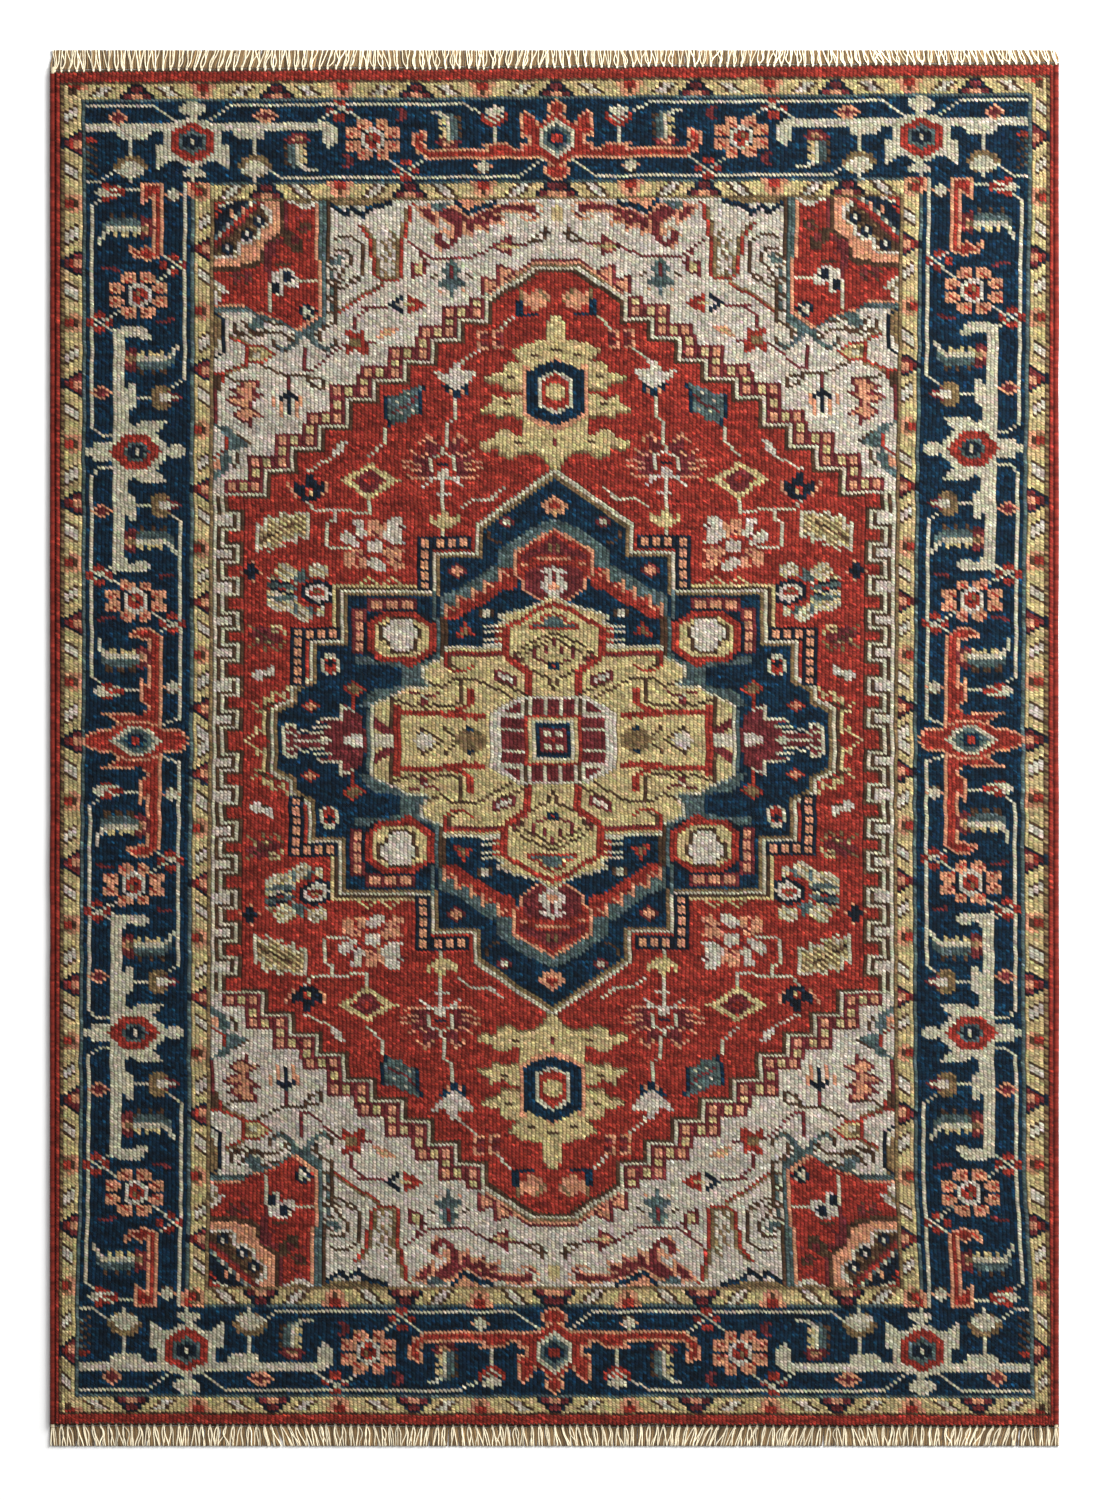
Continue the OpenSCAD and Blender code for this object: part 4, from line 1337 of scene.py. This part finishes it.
# ---------------------------------------------------------------- materials
def material(name, roughness, sheen, bump, yarn=None, abrash=0.1, fibre_scale=900, streaks=0.0):
    """Spun yarn: its colour, slow dye changes along the rows, and fine fibres in colour and relief.

    Its colour is yarn, in sRGB, or the mesh's own "yarn" colours, painted shade and all, whose fourth number
    is streakiness.
    """
    mat = bpy.data.materials.new(name)
    mat.use_nodes = True
    nodes, links = mat.node_tree.nodes, mat.node_tree.links
    shader = nodes["Principled BSDF"]
    shader.inputs["Roughness"].default_value = roughness
    shader.inputs["Sheen Weight"].default_value = sheen
    shader.inputs["Sheen Roughness"].default_value = 0.5
    shader.inputs["Specular IOR Level"].default_value = 0.12
    coords = nodes.new("ShaderNodeTexCoord")

    def noise(stretch, scale, detail):
        """Noise over the piece's own coordinates."""
        mapping = nodes.new("ShaderNodeMapping")
        mapping.inputs["Scale"].default_value = stretch
        links.new(coords.outputs["Object"], mapping.inputs["Vector"])
        texture = nodes.new("ShaderNodeTexNoise")
        texture.inputs["Scale"].default_value = scale
        texture.inputs["Detail"].default_value = detail
        links.new(mapping.outputs["Vector"], texture.inputs["Vector"])
        return texture

    bands = noise((1.5, 40, 1), 1.0, 4.0)
    dashes = noise((16, 130, 1), 1.0, 2.0)
    fibres = noise((1, 0.6, 1), fibre_scale, 3.0)

    def spread(texture, low, high):
        """A noise's middle range stretched to run from low to high."""
        step = nodes.new("ShaderNodeMapRange")
        step.inputs["From Min"].default_value = 0.3
        step.inputs["From Max"].default_value = 0.7
        step.inputs["To Min"].default_value = low
        step.inputs["To Max"].default_value = high
        step.clamp = False
        links.new(texture.outputs["Fac"], step.inputs["Value"])
        return step.outputs["Result"]

    def scaled(colour, factor):
        """A colour made brighter or darker by a factor."""
        step = nodes.new("ShaderNodeVectorMath")
        step.operation = "SCALE"
        if isinstance(colour, tuple):
            step.inputs[0].default_value = colour
        else:
            links.new(colour, step.inputs[0])
        links.new(factor, step.inputs["Scale"])
        return step.outputs["Vector"]

    if yarn is None:
        attribute = nodes.new("ShaderNodeAttribute")
        attribute.attribute_name = "yarn"
        colour = attribute.outputs["Color"]
    else:
        colour = tuple(srgb_to_linear(yarn))
    colour = scaled(colour, spread(bands, 1 - abrash, 1 + abrash))
    if streaks:
        # Short streaks along the rows, stronger in the yarns that take the dye unevenly.
        strength = nodes.new("ShaderNodeMath")
        strength.operation = "MULTIPLY_ADD"
        links.new(spread(dashes, -streaks, streaks), strength.inputs[0])
        links.new(attribute.outputs["Alpha"], strength.inputs[1])
        strength.inputs[2].default_value = 1.0
        colour = scaled(colour, strength.outputs["Value"])
    colour = scaled(colour, spread(fibres, 0.80, 1.20))
    links.new(colour, shader.inputs["Base Color"])
    relief = nodes.new("ShaderNodeBump")
    relief.inputs["Strength"].default_value = bump
    relief.inputs["Distance"].default_value = 0.0006
    links.new(fibres.outputs["Fac"], relief.inputs["Height"])
    links.new(relief.outputs["Normal"], shader.inputs["Normal"])
    return mat


wool_pile = material("wool_pile", 0.9, 0.1, 0.6, abrash=0.12, streaks=0.8)
cotton_yarn = material("cotton_yarn", 0.8, 0.2, 0.5, abrash=0.08, fibre_scale=1500)
cotton_cord = material("cotton_cord", 0.85, 0.15, 0.6, yarn=(0.78, 0.72, 0.60), abrash=0.08)


def dress(piece, node, mat):
    """Give a piece its material and its body, and hide the CAD node that it stands for."""
    piece.data.materials.append(mat)
    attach(piece, "root")
    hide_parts(node)


# ---------------------------------------------------------------- pile
ENDS = (("north", is_north), ("south", ~is_north))
SIDES = (("east", is_east), ("west", ~is_east))
pieces = []


def add_area(name, mask):
    """The piece of pile that stands for the CAD node of that name."""
    piece = pile_piece("pile_" + name, mask)
    dress(piece, name, wool_pile)
    pieces.append(piece)


for ring, slot in (("edge_pile", "wool_red"), ("outer_guard", "wool_gold"), ("main_border", "wool_navy"),
                   ("inner_guard", "wool_gold")):
    for end, here in ENDS:
        add_area(f"{ring}_{end}", (area == ring + ":end") & here)
    for side, here in SIDES:
        add_area(f"{ring}_{side}", (area == ring + ":side") & here)
for end, here in ENDS:
    for side, there in SIDES:
        add_area(f"corner_piece_{end[0]}{side[0]}", (area == "corner_piece") & here & there)
    add_area(f"end_ground_{end}", (area == "end_ground") & here)
    add_area(f"pendant_{end}", (area == "pendant") & here)
for side, here in SIDES:
    add_area(f"side_band_{side}", (area == "side_band") & here)
add_area("red_field", area == "red_field")
add_area("medallion", area == "medallion")
add_area("medallion_heart", area == "medallion_heart")
add_area("centre_panel", area == "centre_panel")

# ---------------------------------------------------------------- foundation
# The back: one low node a knot in its yarn's colour, with the grid's corners up and down in turn.
COTTON, COTTON_STREAKS = srgb_to_linear((0.80, 0.74, 0.62)), 0.1
BACK_RELIEF = 0.0007
BACK_TINT = (0.92, 0.92, 0.92, 1)
back_cols = len(columns) + 1
checks = np.add.outer(np.arange(len(rows) + 1), np.arange(back_cols)) % 2
back_z = BACK_RELIEF * checks * (1 - 0.4 * rng.random(checks.shape))
back = np.stack([*woven(*np.meshgrid(column_lines, row_lines)), back_z], axis=-1)
west, east = back[:, 0].copy(), back[:, -1].copy()
west[:, 2] = east[:, 2] = base_z
back = back.reshape(-1, 3)
corner = np.add.outer(np.arange(len(rows)) * back_cols, np.arange(len(columns))).ravel()
back_faces = np.stack([corner, corner + back_cols, corner + back_cols + 1, corner + 1], axis=1)
k = np.arange(len(rows))
back_w, top_w = k * back_cols, len(back) + k
back_e, top_e = back_w + back_cols - 1, top_w + len(west)
sides_and_top = np.concatenate([
    np.stack([top_w, top_e, top_e + 1, top_w + 1], axis=1),
    np.stack([back_w, top_w, top_w + 1, back_w + back_cols], axis=1),
    np.stack([back_e + back_cols, top_e + 1, top_e, back_e], axis=1)])
south_cap = np.concatenate([np.arange(back_cols), [top_e[0], top_w[0]]])[None, :]
north_cap = np.concatenate([len(back) - 1 - np.arange(back_cols), [top_w[-1] + 1, top_e[-1] + 1]])[None, :]
back_colours = np.concatenate([knot_colour.reshape(-1, 4) * BACK_TINT,
                               np.tile([*COTTON, COTTON_STREAKS], (len(sides_and_top) + 2, 1))])
foundation = new_piece("foundation", np.concatenate([back, west, east]),
                       [back_faces, sides_and_top, south_cap, north_cap], back_colours, smooth=False)
dress(foundation, "foundation_weave", wool_pile)


# ---------------------------------------------------------------- cords, ties and fringe
def tubes(paths, radii, sides, ply=0.0, twist=0.0, slant=0.0):
    """Tubes along paths of one length: points, and faces of the walls and end caps.

    ply squeezes the section to the two humps of a two-ply yarn, and twist turns it along the path.
    slant moves a section's top one way along Y and its bottom the other, as wound yarn lies.
    """
    count, rings = paths.shape[:2]
    tangent = np.gradient(paths, axis=1)
    tangent /= np.linalg.norm(tangent, axis=2, keepdims=True)
    side = np.cross(tangent, (0, 0, 1))
    side /= np.linalg.norm(side, axis=2, keepdims=True)
    up = np.cross(side, tangent)
    angle = np.arange(sides) * 2 * math.pi / sides
    turned = angle[None, None, :] - twist * np.arange(rings)[None, :, None]
    radius = radii[..., None] * (1 + ply * np.cos(2 * turned))
    points = paths[:, :, None, :] + radius[..., None] * (
        np.cos(angle)[:, None] * side[:, :, None, :] + np.sin(angle)[:, None] * up[:, :, None, :])
    points[..., 1] += slant * np.sin(angle)
    first = np.arange(count)[:, None, None] * rings * sides + np.arange(rings - 1)[:, None] * sides
    m = np.arange(sides)
    here, after = first + m, first + (m + 1) % sides
    walls = np.stack([here, here + sides, after + sides, after], axis=-1).reshape(-1, 4)
    start = np.arange(count)[:, None] * rings * sides + m
    end = start[:, ::-1] + (rings - 1) * sides
    return points.reshape(-1, 3), [walls, start, end]


def tube_colours(colours, rings, sides):
    """Colours of a tube's faces, from one colour a tube, in the order that tubes() makes them."""
    return np.concatenate([np.repeat(colours, (rings - 1) * sides, axis=0), colours, colours])


# Overcast sides: red wool wound round the bundled outer warps, a turn a row of knots.
RINGS_A_TURN, OVERCAST_SIDES = 4, 14
CORD_SHARE, TURN_BULGE, TURN_WANDER = 0.90, 0.08, 0.012
CORD_SWAY, TURN_SLANT = 0.0004, 0.0011
TURN_UNEVEN, OVERCAST_LIGHT = 0.22, 0.9


def overcast(side, sign):
    """The wool wound along one side cord. It follows the climb of the rows."""
    low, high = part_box("overcast_wrap_" + side)
    rings = len(rows) * RINGS_A_TURN + 1
    y = np.linspace(low[1], high[1], rings)
    path = np.stack([np.full(rings, (low[0] + high[0]) / 2), woven(sign * half_w, y)[1],
                     np.full(rings, (low[2] + high[2]) / 2)], axis=1)
    path[:, 0] += CORD_SWAY * smooth_noise(rings, 90) * np.sin(np.linspace(0, math.pi, rings))
    bulge = np.abs(np.sin(math.pi * np.arange(rings) / RINGS_A_TURN))
    radii = (high[2] - low[2]) / 2 * (CORD_SHARE + TURN_BULGE * bulge + TURN_WANDER * smooth_noise(rings, 4))
    points, faces = tubes(path[None], radii[None], OVERCAST_SIDES, slant=TURN_SLANT * sign)
    turns = np.repeat(rng.normal(0, TURN_UNEVEN, len(rows)), RINGS_A_TURN * OVERCAST_SIDES)
    # OVERCAST_LIGHT is painted shade: it makes the wound wool a tenth darker than the pile's red.
    colour = dye_table[RED] * np.exp(np.concatenate([turns, [0, 0]]))[:, None] * OVERCAST_LIGHT
    colour = np.column_stack([colour, np.full(len(colour), UNEVEN["RED"])])
    wrap = new_piece("overcast_" + side, points, faces, colour)
    dress(wrap, "overcast_wrap_" + side, wool_pile)


for side, sign in (("east", 1), ("west", -1)):
    overcast(side, sign)
    frame["nodes"]["selvedge_cord_" + side].data.materials[0] = cotton_cord

# Ends: a narrow woven band, the ties, and the loose warp ends, lit ones over shaded ones, in painted light
# and shade.
# A lit and a shaded copy of the fringe cotton: painted light on the ties and upper strands, painted shade on
# the lower strands and the end band.
LIT_COTTON, SHADED_COTTON = srgb_to_linear((0.93, 0.88, 0.76)), srgb_to_linear((0.47, 0.38, 0.26))
WEFTS_A_BAND, BAND_LIGHT = 3, 0.4
WEFT_WAVE, WEFT_WIDTH = 0.0005, 0.55
FRINGE_MARGIN, STRAND_MARGIN = 0.0005, 0.001
fringe_half_w = cad_box[1][0] - FRINGE_MARGIN
strand_half_w = fringe_half_w - STRAND_MARGIN
# A tie's share of the CAD tie's radius along its length: slim, then knotted, then slim again.
TIE_PROFILE = (0.30, 0.62, 0.74, 0.76, 0.70, 0.56, 0.42)
# The fringe is cut straight, a little inside the CAD box at one end and past it at the other.
CUT_PAST_CAD = {"north": -0.0012, "south": 0.002}
# A tie: how far in from the fringe's side the outermost stands, in knots, how it strays and leans,
# where along its length and how high it starts, how far it sinks, as shares, and how much ties differ.
TIE_INSET, TIE_STRAY, TIE_LEAN = 0.8, 0.0008, 0.0006
TIE_START, TIE_HEIGHT, TIE_SINK = 0.02, 0.62, 0.14
TIE_UNEVEN, TIE_SHADE_UNEVEN, TIE_SIDES = 0.06, 0.10, 10
# The strands: where they start under a tie, how they lean together and fan, how early they bend
# away, how unevenly they're cut and lie, and their section.
STRAND_START, STRAND_LEAN, STRAND_FAN = 0.004, 0.0045, 0.003
STRAND_EARLY, BEND_WAVE, CUT_UNEVEN = 0.8, 1.6, 0.025
OVER_LIFT, STRAND_WAVE, STRAND_UNEVEN = 0.0004, 0.0003, 0.08
STRAND_SIDES, STRAND_PLY, STRAND_TWIST = 6, 0.14, 0.9
RINGS_A_STRAND = 11
# The warp ends of one tie in two layers. at_tie and spread say how far they stand apart at the tie and
# spread beyond it, as shares of their even places. stray and bend are random, drop is a fall to the tip.
# The under layer takes the shaded cotton, painted shade; the over layer takes the lit cotton, painted light.
UNDER = dict(count=6, colour=SHADED_COTTON, uneven=0.34, at_tie=1.15, spread=0.05, stray=0.0005,
             bend=0.0005, height=0.0012, drop=0, radius=0.0013)
OVER = dict(count=3, colour=LIT_COTTON, uneven=0.16, at_tie=0.25, spread=0.75, stray=0.0022,
            bend=0.0013, height=0.0034, drop=0.0011, radius=0.00088)


def end_y(x, sign):
    """How far from the middle the last row of knots lies."""
    return sign * woven(np.clip(x, -half_w, half_w), np.full_like(x, sign * half_l))[1]


def reach_of(node):
    """The nearest and farthest distance of a CAD node from the middle, along the rug."""
    low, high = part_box(node)
    return min(abs(low[1]), abs(high[1])), max(abs(low[1]), abs(high[1]))


def end_band(end, sign):
    """Wefts that lock the last row of knots."""
    low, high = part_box("end_band_" + end)
    x = np.linspace(low[0], high[0], 2 * len(columns) + 1)
    weft_d = (high[1] - low[1]) / WEFTS_A_BAND
    start = reach_of("end_band_" + end)[0] - half_l
    paths = np.stack([
        np.stack([x, sign * (end_y(x, sign) + start + (n + 0.5) * weft_d),
                  high[2] * 0.5 + WEFT_WAVE * np.cos(math.pi * (np.arange(len(x)) + n))], axis=1)
        for n in range(WEFTS_A_BAND)])
    points, faces = tubes(paths, np.full(paths.shape[:2], weft_d * WEFT_WIDTH), 8)
    # Painted shade: the band takes the shaded cotton, darkened further by BAND_LIGHT.
    colours = tube_colours(np.tile(SHADED_COTTON * BAND_LIGHT, (WEFTS_A_BAND, 1)), len(x), 8)
    band = new_piece("end_band_weave_" + end, points, faces, colours)
    dress(band, "end_band_" + end, cotton_yarn)


def fringe_ties(end, sign):
    """Bundles of warps knotted together. Gives back where they stand across the rug."""
    low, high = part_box("fringe_ties_" + end)
    tie_d = high[2] - low[2]
    length = reach_of("fringe_ties_" + end)[1] - half_l
    count = int((high[0] - low[0]) / (2 * knot_w))
    tie_x = np.linspace(-1, 1, count) * (fringe_half_w - TIE_INSET * knot_w)
    tie_x = tie_x + rng.normal(0, TIE_STRAY, count)
    t = np.linspace(0, 1, len(TIE_PROFILE))
    lean = TIE_LEAN * rng.normal(size=count)
    paths = np.stack([tie_x[:, None] + lean[:, None] * t,
                      sign * (end_y(tie_x, sign)[:, None] + length * (TIE_START + (1 - TIE_START) * t)),
                      tie_d * (TIE_HEIGHT - TIE_SINK * t) + np.zeros((count, 1))], axis=-1)
    radii = tie_d / 2 * np.array(TIE_PROFILE) * (1 + rng.normal(0, TIE_UNEVEN, (count, 1)))
    points, faces = tubes(paths, radii, TIE_SIDES)
    shades = np.exp(rng.normal(0, TIE_SHADE_UNEVEN, count))[:, None]
    # Painted light: the ties take the lit cotton, varied at random from tie to tie.
    colours = tube_colours(LIT_COTTON * shades, len(TIE_PROFILE), TIE_SIDES)
    ties = new_piece("ties_" + end, points, faces, colours)
    dress(ties, "fringe_ties_" + end, cotton_yarn)
    return tie_x


def fringe_strands(end, sign, tie_x):
    """The loose warp ends beyond the ties, which all lean together and stray one by one."""
    near, far = reach_of("fringe_strands_" + end)
    near_y = near - STRAND_START - half_l + end_y(tie_x, sign)[:, None]
    far_y = far + CUT_PAST_CAD[end]
    ties = len(tie_x)
    slant = STRAND_LEAN * smooth_noise(ties, 6) - STRAND_FAN * tie_x / half_w
    t = np.linspace(0, 1, RINGS_A_STRAND)
    paths, radii, colours = [], [], []
    for layer in (UNDER, OVER):
        for n in range(layer["count"]):
            across = (n - (layer["count"] - 1) / 2) / layer["count"] * 2 * knot_w
            root = tie_x + across * layer["at_tie"]
            reach = slant + across * layer["spread"] + rng.normal(0, layer["stray"], ties)
            bend = rng.normal(0, layer["bend"], ties)
            x = root[:, None] + reach[:, None] * t ** STRAND_EARLY
            x = x + bend[:, None] * np.sin(math.pi * t * BEND_WAVE)
            x = np.clip(x, -strand_half_w, strand_half_w)
            y = sign * (near_y + (far_y - near_y) * (1 - CUT_UNEVEN * rng.random((ties, 1))) * t)
            z = layer["height"] - layer["drop"] * t
            if layer is OVER:
                z = z + OVER_LIFT * rng.random((ties, 1))
            z = z + STRAND_WAVE * rng.normal(size=(ties, 1)) * np.sin(math.pi * t)
            paths.append(np.stack([x, y, z], axis=-1))
            uneven_width = 1 + rng.normal(0, STRAND_UNEVEN, (ties, 1))
            radii.append(np.full(x.shape, layer["radius"]) * uneven_width)
            colours.append(layer["colour"] * np.exp(rng.normal(0, layer["uneven"], ties))[:, None])
    paths, radii, colours = np.concatenate(paths), np.concatenate(radii), np.concatenate(colours)
    # No strand dips into the floor, not even with the hump of a ply.
    paths[..., 2] = np.maximum(paths[..., 2], radii * (STRAND_PLY + 1.01))
    points, faces = tubes(paths, radii, STRAND_SIDES, ply=STRAND_PLY, twist=STRAND_TWIST)
    strands = new_piece("strands_" + end, points, faces,
                        tube_colours(colours, RINGS_A_STRAND, STRAND_SIDES))
    dress(strands, "fringe_strands_" + end, cotton_yarn)


for end, sign in (("north", 1), ("south", -1)):
    end_band(end, sign)
    fringe_strands(end, sign, fringe_ties(end, sign))

attached = pieces + [bpy.data.objects[n + e] for n in ("end_band_weave_", "ties_", "strands_")
                     for e in ("north", "south")]
attached += [bpy.data.objects["overcast_east"], bpy.data.objects["overcast_west"]]

# ---------------------------------------------------------------- floor, light and camera
FLOOR_HALF, FLOOR_Z = 40, -0.0004
mesh = bpy.data.meshes.new("floor")
floor_corners = [(sx * FLOOR_HALF, sy * FLOOR_HALF, FLOOR_Z)
                 for sx, sy in ((-1, -1), (1, -1), (1, 1), (-1, 1))]
mesh.from_pydata(floor_corners, [], [(0, 1, 2, 3)])
floor = bpy.data.objects.new("floor", mesh)
bpy.context.scene.collection.objects.link(floor)
paint = bpy.data.materials.new("floor_paint")
paint.use_nodes = True
paint.node_tree.nodes["Principled BSDF"].inputs["Base Color"].default_value = (0.9, 0.9, 0.895, 1)
paint.node_tree.nodes["Principled BSDF"].inputs["Roughness"].default_value = 0.9
floor.data.materials.append(paint)

scene = bpy.context.scene
scene.view_settings.view_transform = "Standard"
world = bpy.data.worlds.new("studio")
scene.world = world
world.use_nodes = True
world.node_tree.nodes["Background"].inputs["Color"].default_value = (1, 1, 1, 1)
world.node_tree.nodes["Background"].inputs["Strength"].default_value = 0.36


def sun(name, strength, spread_deg, elevation, azimuth):
    """A soft distant light. Azimuth is where it comes from, clockwise from the north end."""
    lamp = bpy.data.lights.new(name, "SUN")
    lamp.energy = strength
    lamp.angle = math.radians(spread_deg)
    lamp_object = bpy.data.objects.new(name, lamp)
    tilt, turn = math.radians(90 - elevation), math.radians(azimuth)
    lamp_object.rotation_euler = (tilt, 0, math.pi - turn)
    scene.collection.objects.link(lamp_object)


sun("key_light", strength=1.0, spread_deg=50, elevation=58, azimuth=55)
# A softbox past the north-east corner, which makes that corner the brightest.
SOFTBOX_WATTS, SOFTBOX_SIZE, SOFTBOX_PLACE = 280, 2.4, (2.5, 1.7, 2.3)
softbox = bpy.data.lights.new("softbox", "AREA")
softbox.energy = SOFTBOX_WATTS
softbox.size = SOFTBOX_SIZE
softbox_object = bpy.data.objects.new("softbox", softbox)
softbox_object.location = SOFTBOX_PLACE
softbox_object.rotation_euler = (-Vector(SOFTBOX_PLACE)).to_track_quat("-Z", "Y").to_euler()
scene.collection.objects.link(softbox_object)

# The photograph looks straight down with a long lens, and the rug fills 93% of its height.
SENSOR, DISTANCE, FILL = 36.0, 12.0, 0.9303
PICTURE_SHIFT = (0.0023, -0.0045)
camera_data = bpy.data.cameras.new("camera")
camera_data.sensor_width = SENSOR
camera_data.lens = SENSOR * DISTANCE * FILL / (cad_box[1][1] - cad_box[0][1])
camera_data.clip_end = 60
camera = bpy.data.objects.new("camera", camera_data)
camera.location = (PICTURE_SHIFT[0], PICTURE_SHIFT[1], DISTANCE)
scene.collection.objects.link(camera)
scene.camera = camera
